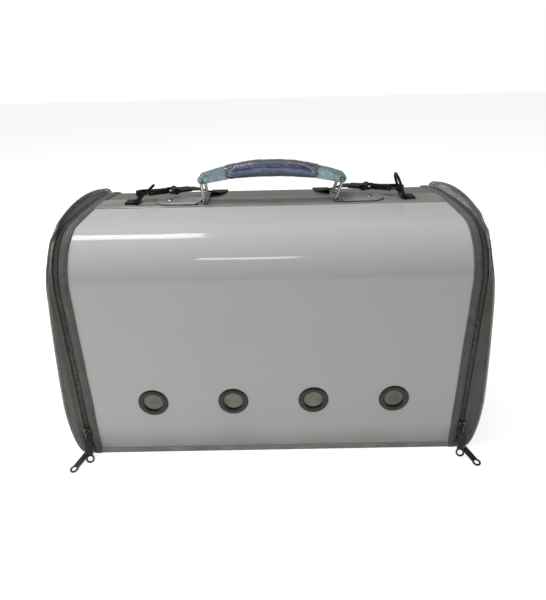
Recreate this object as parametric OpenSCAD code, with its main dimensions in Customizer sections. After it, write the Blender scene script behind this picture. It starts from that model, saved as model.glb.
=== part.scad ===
// Hard-sided pet and bird travel carrier: a bent plastic sheet over a base board,
// two zipped end doors, a ring-hung carrying handle and a clip-on shoulder strap.
// Millimetres, +Z up, X along the carrier, the front faces -Y, floor at Z = 0.

/* [Shell] */
// Length of sheet seen between the two edge bindings
sheet_length = 384; // [320:1:440]
// Depth over the two bulging shoulders
body_depth = 248; // [220:1:280]
// Height of the sheet's crown above the floor
body_height = 252; // [225:1:280]
// Radius of the two shoulders
shoulder_radius = 53; // [45:1:60]
// Height of the crown above the tops of the shoulder arcs
crown_rise = 3; // [2:0.5:6]
// Outward lean of the sides, in degrees
side_lean = 2.2; // [1:0.1:3]
// Thickness of the sheet
sheet_thickness = 1.2; // [0.8:0.1:1.6]
// Width of the sewn strip along the crown
strip_width = 40; // [36:1:46]
// Thickness of the strip, and of its cover
strip_thickness = 1.2; // [0.8:0.1:2]

/* [Base] */
// Thickness of the covered base board
board_thickness = 5; // [3:0.5:8]
// Height of the trim along the sheet's lower edge
trim_height = 6; // [4:0.5:10]
// Thickness of that trim
trim_thickness = 1.3; // [0.8:0.1:2]
// Thickness of the fabric hinge under each door
flap_thickness = 0.6; // [0.4:0.1:0.7]
// Thickness of the loose floor mat at its crown
mat_thickness = 9; // [6:0.5:14]

/* [Air holes] */
// Inner radius of an eyelet
eyelet_radius = 10; // [7:0.5:12]
// Outer radius of its flange
eyelet_flange = 16; // [14.5:0.5:18]
// Height of the eyelets' centres
eyelet_height = 66; // [50:1:90]
// Distance between neighbouring eyelets
eyelet_spacing = 85; // [70:1:92]
// Eyelets in a row
eyelet_count = 4; // [2:1:4]

/* [Edge binding and zip] */
// Width of the fabric binding on the sheet's end
binding_width = 8; // [6:0.5:11]
// How far the binding stands out from the sheet
binding_proud = 1.7; // [1:0.1:2.2]
// Width of one side of the zip, tape and coil
zip_side_width = 2.2; // [1.8:0.1:3]
// Gap in which the two coils mesh
zip_gap = 2; // [1.8:0.1:2.4]
// Half the thickness of a coil
coil_half = 0.9; // [0.7:0.05:1]
// Half the thickness of the tape
tape_half = 0.4; // [0.25:0.05:0.5]

/* [Doors] */
// Reach of a door beyond the visible sheet, near its fullest height
door_reach = 30; // [27:0.5:34]
// Reach at the crown
door_reach_top = 17.8; // [17:0.1:22]
// How far the boxing's rim stands up above the crown
door_crest = 6.5; // [3:0.5:9]
// Reach at the floor
door_reach_foot = 17; // [16.5:0.5:20]
// Height at which a door is fullest
door_full_height = 60; // [50:1:80]
// Gap between a door's lower edge and the floor
door_foot_gap = 0.9; // [0.8:0.1:1.5]
// Thickness of the door's boxing, outside the sheet's surface
boxing_out = 1.6; // [1:0.1:1.7]
// Thickness of the door's boxing, inside the sheet's surface
boxing_in = 1.4; // [1:0.1:2.5]
// Thickness of the door's end panel
panel_thickness = 1.6; // [1:0.1:2.5]
// Margin of end panel round the mesh window
window_margin = 30; // [24:1:40]
// Height of the window's sill
window_sill = 40; // [30:1:60]
// Radius of the window's lower corners
window_corner = 18; // [10:1:24]
// Width of the tape round the window
window_tape = 8; // [6:0.5:10]
// Thickness of the edging along the door's outer rim, and of the window tape
edging_thickness = 1.2; // [0.8:0.1:1.6]

/* [Zip sliders and pulls] */
// Length of a slider
slider_length = 12; // [10:0.5:14]
// Width of a slider's outer plate
slider_width = 8; // [7:0.25:9]
// Width of the part of a slider that holds the coils
slider_waist = 5.8; // [5:0.1:6.2]
// Half the height of the slot for the coils
slot_half = 1.25; // [1.1:0.05:1.4]
// Gap between the lower and the upper slider
slider_gap = 9.5; // [8:0.5:11]
// Length of a pull, from its pivot
pull_length = 31; // [26:0.5:34]
// Width of a pull
pull_width = 7; // [6.6:0.1:8]
// Thickness of a pull
pull_thickness = 1.2; // [1:0.1:1.3]
// Radius of the bar at the pivot end of a pull
pull_bar_radius = 0.6; // [0.5:0.05:0.65]
// Sideways turn of the lower pulls, in degrees
lower_pull_turn = 24; // [18:1:25]
// Sideways turn of the upper pulls, in degrees
upper_pull_turn = 18; // [14:1:19]

/* [Handle] */
// Distance between the two lower ring bars
ring_spacing = 144; // [130:1:160]
// Height from a ring's lower bar to its upper bar
ring_height = 22.5; // [20:0.5:26]
// Clear width inside a ring
ring_width = 30; // [28:0.5:34]
// Radius of the rings' wire
ring_wire = 1.75; // [1.5:0.05:2]
// Lean of the left ring at rest, in degrees
ring_lean_left = -4; // [-6:1:0]
// Lean of the right ring at rest, in degrees
ring_lean_right = 20; // [12:1:22]
// Rise of the handle's middle above its ends
handle_rise = 10.5; // [6:0.5:16]
// Width of the handle
handle_width = 25; // [22:0.5:27]
// Thickness of the handle's padded middle
grip_thickness = 17; // [14:0.5:20]
// Share of the handle's arc that the padded grip covers
grip_share = 0.66; // [0.5:0.02:0.75]
// Radius of the loop round a ring's upper bar
handle_loop_radius = 4.7; // [4.6:0.1:5.5]
// Running clearance between a bar and its loop
bar_clearance = 0.1; // [0.05:0.01:0.1]
// Extra slack in the right-hand handle loop
loop_slack = 1; // [1:0.05:1.2]

/* [Handle anchors] */
// Length of a tongue, from the ring bar to its round end
tongue_length = 56; // [48:1:62]
// Width of a tongue
tongue_width = 34; // [32:1:38]
// Width of a tongue's neck, inside its ring
neck_width = 26; // [24:0.5:26.5]
// Thickness of a tongue
tongue_thickness = 2.6; // [2:0.1:3]
// Radius of a tongue's loop
tongue_loop_radius = 3.4; // [3.2:0.1:4]
// Radius of a rivet's head
rivet_radius = 4; // [3:0.25:5]
// Height of a rivet's head
rivet_height = 1.5; // [1:0.1:2]

/* [Shoulder strap fittings] */
// Distance of a strap ring's bar from the middle
dring_reach = 148.5; // [146:0.5:152]
// Half the clear width of a strap ring, and the radius of its arc
dring_half = 10.75; // [10.5:0.25:12]
// Straight part of a strap ring's legs
dring_leg = 12.75; // [12:0.25:14]
// Radius of a strap ring's wire
dring_wire = 1.5; // [1.3:0.05:1.6]
// Inward lean of the left strap ring at rest, in degrees
dring_lean_left = 50; // [46:1:51]
// Inward lean of the right strap ring at rest, in degrees
dring_lean_right = 20; // [18:1:24]
// Width of the tab that holds a strap ring
dtab_width = 19; // [16:0.5:20]
// Length of that tab
dtab_length = 13; // [10:0.5:16]
// Thickness of that tab
dtab_thickness = 2.2; // [1.6:0.1:2.6]
// Height of the hooks' middle plane above the strip
hook_lift = 8.8; // [8.4:0.1:10]
// Turn of the hooks towards the rear, in degrees
hook_turn = 20; // [18:1:24]
// Clear length of a hook's eye
hook_eye_length = 14; // [13.5:0.25:15]
// Clear width of a hook's eye
hook_eye_width = 9; // [8.5:0.25:10]
// Width of the metal round the eye
hook_rim = 3.2; // [2.8:0.1:3.6]
// Thickness of a hook
hook_thickness = 5.4; // [5:0.1:6]
// Thickness of the sprung gate
gate_thickness = 3; // [2.6:0.1:3.2]
// Width of the shoulder strap
webbing_width = 20; // [18:0.5:21]
// Thickness of the webbing
webbing_thickness = 1.4; // [1.2:0.1:1.6]

/* [Hidden] */

$fn = 48;

// the arch, seen from the end: leaning sides, round shoulders and a shallow crown
shoulder_y = body_depth / 2 - shoulder_radius;
shoulder_z = body_height - shoulder_radius - crown_rise;
crown_radius = (pow(shoulder_y, 2) + pow(shoulder_radius + crown_rise, 2)
    - pow(shoulder_radius, 2)) / (2 * crown_rise);
crown_centre = body_height - crown_radius;
crown_angle = atan2(shoulder_y, shoulder_z - crown_centre);
shoulder_steps = 10;
crown_steps = 6;

// places along the carrier
half_sheet = sheet_length / 2;
shell_end = half_sheet + binding_width;
sheet_tuck = binding_width - 1;
body_coil_end = shell_end + zip_side_width;
door_coil_start = body_coil_end + zip_gap;
door_start = door_coil_start + zip_side_width;
zip_middle = (body_coil_end + door_coil_start) / 2;
strip_top = body_height + strip_thickness;
fit_gap = 0.3;
leg_play = 0.6;

// a point's distance from the middle plane on a side that is grown by g, at height z
function side_y(z, g = 0) = shoulder_y + (shoulder_radius + g) / cos(side_lean)
    - (shoulder_z - z) * tan(side_lean);

function arc(cy, cz, r, a0, a1, n) =
    [for (i = [0:n]) let(a = a0 + (a1 - a0) * i / n) [cy + r * cos(a), cz + r * sin(a)]];

// shoulders and crown of the arch, grown by g, from front to back
function arch_top(g) = concat(
    arc(-shoulder_y, shoulder_z, shoulder_radius + g, 180 + side_lean, 90 + crown_angle, shoulder_steps),
    [for (i = [1:crown_steps - 1])
        let(a = 90 + crown_angle * (1 - 2 * i / crown_steps))
        [(crown_radius + g) * cos(a), crown_centre + (crown_radius + g) * sin(a)]],
    arc(shoulder_y, shoulder_z, shoulder_radius + g, 90 - crown_angle, -side_lean, shoulder_steps));

// the whole arch with straight sides down to height z0
function arch(g, z0 = 0) =
    concat([[-side_y(z0, g), z0]], arch_top(g), [[side_y(z0, g), z0]]);

// the mesh window: the arch drawn in, with round lower corners
function window(g) = let(
    grown = g - window_margin,
    r = window_corner + g,
    half = side_y(window_sill + window_corner, grown) - r,
    centre_z = window_sill + window_corner)
    concat(arc(-half, centre_z, r, 270, 180, 5), arch_top(grown), arc(half, centre_z, r, 0, -90, 5));

// how far a door reaches beyond the visible sheet, from floor to crown, as [reach, height]
foot_steps = 5;
rise_steps = 6;
taper_power = 1.3;
top_drop = 27;
door_top_z = body_height - top_drop;

// the crest grows over this height below the crown, and over this run along the carrier
crest_depth = 16;
crest_run = 3;
door_curve = concat(
    [for (i = [0:foot_steps]) let(a = 90 * i / foot_steps)
        [door_reach_foot + (door_reach - door_reach_foot) * sin(a), door_full_height * (1 - cos(a))]],
    [for (i = [1:rise_steps]) let(s = i / rise_steps)
        [door_reach - (door_reach - door_reach_top) * pow(s, taper_power),
            door_full_height + (door_top_z - door_full_height) * s]],
    [[door_reach_top, body_height + crest_depth]]);

// the arch with its growth raised by the crest, little by little near the crown
function crested(g, crest, z0) = let(plain = arch(0, z0), grown = arch(1, z0))
    [for (i = [0:len(plain) - 1])
        let(share = max(0, min(1, 1 - (body_height - plain[i][1]) / crest_depth)))
        plain[i] + (grown[i] - plain[i]) * (g + crest * share)];

module along_x(x0, x1) {
    translate([x0, 0, 0]) rotate([90, 0, 90]) linear_extrude(x1 - x0) children();
}

module across_y(y0, y1) {
    rotate([90, 0, 0]) translate([0, 0, -y1]) linear_extrude(y1 - y0) children();
}

// right-hand pieces are drawn, and left-hand ones are their mirror image
module on_side(side) {
    if (side > 0) children();
    else mirror([1, 0, 0]) children();
}

module arch_band(outer, inner, x0, x1, z0 = 0) {
    along_x(x0, x1) difference() {
        polygon(arch(outer, z0));
        polygon(arch(inner, z0 - 1));
    }
}

// slab that follows the door's bulge, from o0 to o1 outside its curve
module door_slab(o0, o1) {
    curve = [for (p = door_curve) [half_sheet + p[0], p[1]]];
    across_y(-body_depth, body_depth) polygon(concat(
        [for (p = curve) [p[0] + o0, p[1]]],
        [for (i = [len(curve) - 1:-1:0]) [curve[i][0] + o1, curve[i][1]]]));
}

// ---- base ----

module board_block(x0, x1) {
    along_x(x0, x1) polygon([
        [-side_y(0, -sheet_thickness), 0], [side_y(0, -sheet_thickness), 0],
        [side_y(board_thickness, -sheet_thickness), board_thickness],
        [-side_y(board_thickness, -sheet_thickness), board_thickness]]);
}

module base_board() {
    color("dimgray") board_block(-shell_end, shell_end);
}

mat_gap = 5;
mat_half_x = shell_end - mat_gap;
mat_half_y = side_y(board_thickness, -sheet_thickness) - mat_gap;
mat_inset = 10;

// a thin padded mat: a flat slab with a crowned middle and drawn-in edge
module floor_mat() {
    edge = mat_thickness * 0.45;
    color("slategray") translate([0, 0, board_thickness]) hull() {
        for (x = [-1, 1]) for (y = [-1, 1])
            translate([x * (mat_half_x - mat_inset), y * (mat_half_y - mat_inset), 0])
                cylinder(r = mat_inset, h = edge, $fn = 24);
        for (x = [-1, 1]) for (y = [-1, 1])
            translate([x * (mat_half_x - 2.2 * mat_inset), y * (mat_half_y - 2.2 * mat_inset), 0])
                cylinder(r = mat_inset, h = mat_thickness, $fn = 24);
    }
}

module base_trim() {
    color("dimgray") for (s = [-1, 1]) along_x(-half_sheet, half_sheet)
        polygon([
            [s * side_y(0), 0], [s * side_y(0, trim_thickness), 0],
            [s * side_y(trim_height, trim_thickness), trim_height], [s * side_y(trim_height), trim_height]]);
}

flap_reach = half_sheet + door_reach_foot + 5;

module hinge_flaps() {
    color("dimgray") for (s = [-1, 1]) on_side(s)
        translate([shell_end, -side_y(0, -boxing_in), 0])
            cube([flap_reach - shell_end, 2 * side_y(0, -boxing_in), flap_thickness]);
}

// ---- bent sheet ----

// places a child on a side's surface, its +Z pointing outwards
module on_front(x, z) {
    translate([x, -side_y(z), z]) rotate([90 + side_lean, 0, 0]) children();
}

module eyelet_row() {
    for (i = [0:eyelet_count - 1])
        on_front((i - (eyelet_count - 1) / 2) * eyelet_spacing, eyelet_height) children();
}

barrel_radius = eyelet_radius + 1.4;

module front_panel() {
    color("gainsboro") difference() {
        along_x(-half_sheet - sheet_tuck, half_sheet + sheet_tuck) intersection() {
            difference() {
                polygon(arch(0));
                polygon(arch(-sheet_thickness, -1));
            }
            translate([-body_depth, 0]) square([body_depth - 2, body_height + 1]);
        }
        eyelet_row() translate([0, 0, -5]) cylinder(r = barrel_radius + 0.2, h = 10);
    }
}

module back_panel() {
    mirror([0, 1, 0]) front_panel();
}

module top_strip() {
    color("silver") along_x(-half_sheet, half_sheet) intersection() {
        difference() {
            polygon(arch(strip_thickness));
            polygon(arch(0, -1));
        }
        translate([-strip_width / 2, 0]) square([strip_width, body_height + 5]);
    }
}

// turned two-part eyelet: domed flange outside, washer inside, barrel between
module eyelet() {
    rotate_extrude() polygon([
        [eyelet_radius, -sheet_thickness - 1], [eyelet_flange - 1, -sheet_thickness - 1],
        [eyelet_flange - 1, -sheet_thickness], [barrel_radius, -sheet_thickness], [barrel_radius, 0],
        [eyelet_flange, 0], [eyelet_flange - 0.3, 0.8], [eyelet_flange - 1.6, 1.5],
        [eyelet_flange - 3.6, 1.7], [eyelet_radius + 0.6, 1.2], [eyelet_radius, 0.5]]);
}

module eyelets_front() {
    color("dimgray") eyelet_row() eyelet();
}

module eyelets_back() {
    mirror([0, 1, 0]) eyelets_front();
}

// ---- edge binding and body half of the zip ----

module binding(side) {
    color("gray") on_side(side) difference() {
        arch_band(binding_proud, -sheet_thickness - 1.8, half_sheet, shell_end);
        arch_band(0, -sheet_thickness, half_sheet - 1, half_sheet + sheet_tuck, -1);
        board_block(half_sheet - 1, shell_end + 1);
    }
}

zip_foot = flap_thickness + 0.4;

module body_zip(side) {
    color("black") on_side(side) {
        arch_band(tape_half, -tape_half, shell_end, body_coil_end - 1, zip_foot);
        arch_band(coil_half, -coil_half, body_coil_end - 1, body_coil_end, zip_foot);
    }
}

// ---- end doors ----

module door_zip(side) {
    color("black") on_side(side) {
        arch_band(coil_half, -coil_half, door_coil_start, door_coil_start + 1, zip_foot);
        arch_band(tape_half, -tape_half, door_coil_start + 1, door_start, zip_foot);
    }
}

door_far = half_sheet + door_reach + 5;
door_floor = 2.8;

// fabric band round the arch, its rim standing up at the crown
module boxing() {
    stations = [[door_start, 0], [door_start + crest_run, door_crest], [door_far, door_crest]];
    rings = [for (s = stations) let(inside = crested(-boxing_in, s[1], door_foot_gap), n = len(inside))
        [for (p = concat(crested(boxing_out, s[1], door_foot_gap), [for (i = [n - 1:-1:0]) inside[i]]))
            [s[0], p[0], p[1]]]];
    sides = len(rings[0]);
    last = (len(rings) - 1) * sides;
    polyhedron([for (ring = rings) each ring], concat(
        [for (i = [0:len(rings) - 2]) for (k = [0:sides - 1])
            let(a = i * sides + k, b = i * sides + (k + 1) % sides)
            each [[a, b, a + sides], [b, b + sides, a + sides]]],
        [for (k = [0:sides / 2 - 2]) let(a = k, b = k + 1, c = sides - 2 - k, d = sides - 1 - k)
            each [[d, c, b, a], [last + a, last + b, last + c, last + d]]]));
}

// the boxing is closed by a strip along the floor
module door_band(side) {
    color("dimgray") on_side(side) difference() {
        union() {
            boxing();
            along_x(door_start, door_far) polygon([
                [-side_y(door_foot_gap, -boxing_in), door_foot_gap],
                [side_y(door_foot_gap, -boxing_in), door_foot_gap],
                [side_y(door_floor, -boxing_in), door_floor],
                [-side_y(door_floor, -boxing_in), door_floor]]);
        }
        door_slab(0, 40);
    }
}

module door_panel(side) {
    color("plum") on_side(side) intersection() {
        door_slab(-panel_thickness, 0);
        difference() {
            along_x(door_start, door_far) difference() {
                polygon(crested(-boxing_in, door_crest, door_floor));
                polygon(window(0));
            }
            boxing();
        }
    }
}

module door_mesh(side) {
    color("black") on_side(side) intersection() {
        door_slab(-panel_thickness * 0.75, -panel_thickness * 0.25);
        along_x(door_start, door_far) polygon(window(0));
    }
}

tape_seat = 0.1;

module door_tape(side) {
    color("dimgray") on_side(side) intersection() {
        door_slab(tape_seat, edging_thickness);
        along_x(door_start, door_far) difference() {
            polygon(window(window_tape / 2));
            polygon(window(-window_tape / 2));
        }
    }
}

module door_edging(side) {
    color("plum") on_side(side) intersection() {
        door_slab(0, edging_thickness);
        boxing();
    }
}

// ---- zip sliders ----

slider_skin = 1.2;
plate_lift = 2;
bridge_gap = 4;
bridge_bar = 1.2;
bridge_half_width = 0.7;
bridge_length = 9;
low_slider_z = zip_foot + 1 + slider_length / 2;
up_slider_z = low_slider_z + slider_length + slider_gap;
pull_pivot_lift = plate_lift + slider_skin + bridge_gap / 2;

// a slider's own frame: +Z out of the side, +Y up along the zip
module slider_body() {
    translate([-slider_width / 2, -slider_length / 2, plate_lift])
        cube([slider_width, slider_length, slider_skin]);
    difference() {
        translate([-slider_waist / 2, -slider_length / 2, -slot_half - slider_skin])
            cube([slider_waist, slider_length, plate_lift + slot_half + slider_skin]);
        translate([-slider_waist, -slider_length, -slot_half])
            cube([2 * slider_waist, 2 * slider_length, 2 * slot_half]);
    }
    translate([0, slider_length / 2 - 1.5, -slot_half]) cylinder(d = 1.4, h = 2 * slot_half, $fn = 24);
    translate([0, 0, plate_lift + slider_skin]) {
        for (s = [-1, 1]) translate([-bridge_half_width, s * (bridge_length - bridge_bar) / 2 - bridge_bar / 2, 0])
            cube([2 * bridge_half_width, bridge_bar, bridge_gap]);
        translate([-bridge_half_width, -bridge_length / 2, bridge_gap])
            cube([2 * bridge_half_width, bridge_length, bridge_bar]);
    }
}

module slider(side, z) {
    color("darkslategray") on_side(side) on_front(zip_middle, z) slider_body();
}

// a pull lies along its own -Y from the pivot bar at the origin
hole_half = 2.4;
hole_length = 6;
tip_radius = 4.5;

module pull_plate() {
    difference() {
        union() {
            translate([-pull_width / 2, -pull_length + tip_radius, -pull_thickness / 2])
                cube([pull_width, pull_length - tip_radius - 0.3, pull_thickness]);
            translate([0, -pull_length + tip_radius, -pull_thickness / 2])
                cylinder(r = tip_radius, h = pull_thickness);
        }
        translate([-hole_half, -hole_length, -1]) cube([2 * hole_half, hole_length + 1, 2]);
        translate([0, -pull_length + tip_radius, -1]) cylinder(r = 2.6, h = 2);
    }
    translate([-pull_width / 2 + 0.4, 0, 0]) rotate([0, 90, 0])
        cylinder(r = pull_bar_radius, h = pull_width - 0.8, $fn = 24);
}

// angle below the horizontal at which a pull's tip reaches the height tip_z
function pull_drop(pivot_z, tip_z) = asin((pivot_z - tip_z) / pull_length);

module pull(side, z, tip_z, turn) {
    color("darkslategray") on_side(side)
        translate([zip_middle, -side_y(z, pull_pivot_lift), z - pull_pivot_lift * sin(side_lean)])
            rotate([0, 0, turn])
                rotate([pull_drop(z - pull_pivot_lift * sin(side_lean), tip_z), 0, 0]) pull_plate();
}

low_tip_z = pull_thickness / 2 + 0.4;
up_tip_z = 1.4;

// ---- handle rings, anchors and handle ----

bar_z = strip_top + tongue_loop_radius;
ring_corner = 3.5;
ring_half = ring_width / 2 + ring_wire;

module rod_y(r, length) {
    translate([0, -length / 2, 0]) rotate([-90, 0, 0]) cylinder(r = r, h = length, $fn = 32);
}

// quarter bend of wire in the YZ plane, turned about the X axis to each corner
module wire_bend(wire, radius, angle, start) {
    rotate([start, 0, 0]) rotate([90, 0, 90]) rotate_extrude(angle = angle, $fn = 48)
        translate([radius, 0]) circle(r = wire, $fn = 32);
}

// a rounded rectangular ring, its lower bar on the origin
module wire_ring() {
    straight = 2 * (ring_half - ring_corner);
    rod_y(ring_wire, straight);
    translate([0, 0, ring_height]) rod_y(ring_wire, straight);
    for (s = [-1, 1]) translate([0, s * ring_half, ring_corner])
        cylinder(r = ring_wire, h = ring_height - 2 * ring_corner, $fn = 32);
    translate([0, ring_half - ring_corner, ring_height - ring_corner]) wire_bend(ring_wire, ring_corner, 90, 0);
    translate([0, ring_corner - ring_half, ring_height - ring_corner]) wire_bend(ring_wire, ring_corner, 90, 90);
    translate([0, ring_corner - ring_half, ring_corner]) wire_bend(ring_wire, ring_corner, 90, 180);
    translate([0, ring_half - ring_corner, ring_corner]) wire_bend(ring_wire, ring_corner, 90, 270);
}

module ring(side) {
    color("silver") translate([side * ring_spacing / 2, 0, bar_z])
        rotate([0, side > 0 ? ring_lean_right : ring_lean_left, 0]) wire_ring();
}

neck_length = 8;

module anchor(side) {
    color("silver") on_side(side) translate([ring_spacing / 2, 0, strip_top]) difference() {
        union() {
            translate([0, -neck_width / 2, 0]) cube([neck_length, neck_width, tongue_thickness]);
            translate([neck_length, -tongue_width / 2, 0])
                cube([tongue_length - neck_length - tongue_width / 2, tongue_width, tongue_thickness]);
            translate([tongue_length - tongue_width / 2, 0, 0])
                cylinder(d = tongue_width, h = tongue_thickness, $fn = 64);
            translate([0, 0, tongue_loop_radius]) rod_y(tongue_loop_radius, neck_width);
        }
        translate([0, 0, tongue_loop_radius]) rod_y(ring_wire + bar_clearance, neck_width + 2);
    }
}

rivet_inset = 16;

module anchor_rivets() {
    cap_radius = (pow(rivet_radius, 2) + pow(rivet_height, 2)) / (2 * rivet_height);
    color("gray") for (s = [-1, 1])
        translate([s * (ring_spacing / 2 + tongue_length - rivet_inset), 0, strip_top + tongue_thickness])
            intersection() {
                translate([0, 0, rivet_height - cap_radius]) sphere(r = cap_radius, $fn = 48);
                cylinder(r = rivet_radius + 1, h = rivet_height + 1);
            }
}

function ring_end(side) = let(lean = side > 0 ? ring_lean_right : ring_lean_left)
    [side * ring_spacing / 2 + ring_height * sin(lean), bar_z + ring_height * cos(lean)];

// the handle is an arc through the two upper bars
handle_a = ring_end(-1);
handle_b = ring_end(1);
handle_chord = norm(handle_b - handle_a);
handle_tilt = atan2(handle_b[1] - handle_a[1], handle_b[0] - handle_a[0]);
handle_radius = (pow(handle_chord / 2, 2) + pow(handle_rise, 2)) / (2 * handle_rise);
handle_angle = asin(handle_chord / 2 / handle_radius);
handle_middle = (handle_a + handle_b) / 2;
grip_angle = handle_angle * grip_share;
tab_half = 5.6;

module in_handle() {
    translate([handle_middle[0], 0, handle_middle[1]]) rotate([0, -handle_tilt, 0])
        translate([0, 0, handle_rise - handle_radius]) children();
}

// thickness of the handle's section at s, from -1 at the grip's left end to 1 at its right
function grip_half(s) = tab_half + 0.7 + (grip_thickness / 2 - tab_half - 0.7) * sqrt(max(0, 1 - pow(abs(s), 3)));

grip_rings = 20;
grip_sides = 20;

// one ring of points of the padded grip: a rounded oblong, flatter below
function grip_ring(s) = let(a = grip_angle * s, h = grip_half(s))
    [for (i = [0:grip_sides - 1])
        let(t = 360 * i / grip_sides,
            y = handle_width / 2 * sign(cos(t)) * pow(abs(cos(t)), 0.6),
            r = handle_radius + h * (sin(t) < 0 ? 0.92 : 1) * sign(sin(t)) * pow(abs(sin(t)), 0.8))
        [r * sin(a), y, r * cos(a)]];

module handle_grip() {
    points = [for (k = [0:grip_rings]) each grip_ring(2 * k / grip_rings - 1)];
    last = grip_rings * grip_sides;
    color("mediumpurple") in_handle() polyhedron(points, concat(
        [[for (i = [0:grip_sides - 1]) i]],
        [for (k = [0:grip_rings - 1]) for (i = [0:grip_sides - 1])
            let(a = k * grip_sides + i, b = k * grip_sides + (i + 1) % grip_sides)
            each [[a, a + grip_sides, b], [b, a + grip_sides, b + grip_sides]]],
        [[for (i = [grip_sides - 1:-1:0]) last + i]]));
}

tab_steps = 5;

// a strap end of the handle: it widens from the loop to the grip
module handle_tab(side) {
    bore = ring_wire + bar_clearance + (side > 0 ? loop_slack : 0);
    start = grip_angle;
    stop = handle_angle;
    color("lightsteelblue") in_handle() on_side(side) difference() {
        union() {
            across_y(-handle_width / 2, handle_width / 2) polygon(concat(
                [for (i = [0:tab_steps])
                    let(f = i / tab_steps, a = start + (stop - start) * f,
                        r = handle_radius + tab_half + (handle_loop_radius - tab_half) * f)
                    [r * sin(a), r * cos(a)]],
                [for (i = [tab_steps:-1:0])
                    let(f = i / tab_steps, a = start + (stop - start) * f,
                        r = handle_radius - tab_half + (tab_half - handle_loop_radius) * f)
                    [r * sin(a), r * cos(a)]]));
            translate([handle_radius * sin(stop), 0, handle_radius * cos(stop)])
                rod_y(handle_loop_radius, handle_width);
        }
        translate([handle_radius * sin(stop), 0, handle_radius * cos(stop)])
            rod_y(bore, handle_width + 2);
    }
}

// ---- strap rings and their tabs ----

dtab_loop_radius = dring_wire + bar_clearance + 1.4;
dbar_z = strip_top + dtab_loop_radius;
dring_middle = dring_half + dring_wire;
dring_corner = 2.5;

module wire_dring() {
    rod_y(dring_wire, 2 * (dring_middle - dring_corner));
    for (s = [-1, 1]) translate([0, s * dring_middle, dring_corner])
        cylinder(r = dring_wire, h = dring_leg - dring_corner, $fn = 32);
    translate([0, dring_corner - dring_middle, dring_corner]) wire_bend(dring_wire, dring_corner, 90, 180);
    translate([0, dring_middle - dring_corner, dring_corner]) wire_bend(dring_wire, dring_corner, 90, 270);
    translate([0, 0, dring_leg]) wire_bend(dring_wire, dring_middle, 180, 0);
}

module dring(side) {
    color("dimgray") on_side(side) translate([dring_reach, 0, dbar_z])
        rotate([0, -(side > 0 ? dring_lean_right : dring_lean_left), 0]) wire_dring();
}

module dring_tab(side) {
    color("midnightblue") on_side(side) translate([dring_reach, 0, strip_top]) difference() {
        union() {
            translate([0, -dtab_width / 2, 0]) cube([dtab_length, dtab_width, dtab_thickness]);
            translate([0, 0, dtab_loop_radius]) rod_y(dtab_loop_radius, dtab_width);
        }
        translate([0, 0, dtab_loop_radius]) rod_y(dring_wire + bar_clearance, dtab_width + 2);
    }
}

// ---- snap hooks ----

// a hook's own frame: the eye's middle on the origin, +X out to the claw, Y across it
hook_z = strip_top + hook_lift;
eye_run = (hook_eye_length - hook_eye_width) / 2;
claw_radius = hook_eye_width / 2 + hook_rim;
hook_back = -eye_run - claw_radius;
neck_end = hook_back - 9;
barrel_end = neck_end - 4;
post_radius = 1.5;
collar_start = barrel_end - 0.3;
collar_length = 3;
frame_start = collar_start - collar_length;
slot_length = 4.5;
frame_bar = 3;
frame_half = webbing_width / 2 + 0.4;
far_bar_x = frame_start - 2 - slot_length - frame_bar / 2;

// the strap ring's leg lies against the outer end of the right eye, and the inner end of the left
right_leg_x = (hook_z - hook_thickness / 2 - dbar_z) * -tan(dring_lean_right)
    + dring_wire / cos(dring_lean_right);
left_leg_x = (hook_z + hook_thickness / 2 - dbar_z) * -tan(dring_lean_left)
    - dring_wire / cos(dring_lean_left);
hook_x_right = dring_reach + right_leg_x + leg_play - hook_eye_length / 2;
hook_x_left = dring_reach + left_leg_x - leg_play + hook_eye_length / 2;

module at_hook(side) {
    on_side(side) translate([side > 0 ? hook_x_right : hook_x_left, dring_middle, hook_z])
        rotate([0, 0, -hook_turn]) children();
}

module plate(height) {
    translate([0, 0, -height / 2]) linear_extrude(height) children();
}

module capsule(r) {
    for (s = [-1, 1]) translate([s * eye_run, 0]) circle(r = r);
    translate([-eye_run, -r]) square([2 * eye_run, 2 * r]);
}

gate_pivot = [-eye_run - 4.2, -hook_eye_width / 2 - 1];
gate_pin = 0.8;
gate_end_radius = 1.9;
gate_length = 9.5;
gate_bar = 2;

module gate_shape(grow) {
    translate(gate_pivot) circle(r = gate_end_radius + grow);
    translate([gate_pivot[0], gate_pivot[1] - gate_bar / 2 - grow])
        square([gate_length + grow, gate_bar + 2 * grow]);
}

module hook(side) {
    color("black") at_hook(side) {
        difference() {
            union() {
                plate(hook_thickness) capsule(claw_radius);
                plate(hook_thickness) polygon([
                    [hook_back + 3, -5.5], [hook_back + 3, 5.5], [neck_end, 3.4], [neck_end, -3.4]]);
            }
            plate(hook_thickness + 2) capsule(hook_eye_width / 2);
            plate(gate_thickness + 2 * fit_gap) gate_shape(fit_gap);
            plate(gate_thickness + 2 * fit_gap) translate(gate_pivot) rotate([0, 0, 22])
                translate([0, -gate_bar / 2 - fit_gap]) square([gate_length, gate_bar + 2 * fit_gap]);
            plate(hook_thickness + 2) translate([gate_pivot[0] + gate_end_radius + 1.2, -claw_radius - 1])
                square([gate_length - gate_end_radius - 1.2 + fit_gap, claw_radius]);
        }
        translate([gate_pivot[0], gate_pivot[1], -hook_thickness / 2])
            cylinder(r = gate_pin, h = hook_thickness, $fn = 24);
        translate([barrel_end, 0, 0]) rotate([0, 90, 0]) cylinder(d = 7, h = neck_end - barrel_end);
        translate([frame_start - 1.4, 0, 0]) rotate([0, 90, 0])
            cylinder(r = post_radius, h = barrel_end - frame_start + 1.4, $fn = 32);
        translate([frame_start - 1.4, 0, 0]) rotate([0, 90, 0])
            cylinder(r = post_radius + 0.9, h = 1.1, $fn = 32);
    }
}

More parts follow.
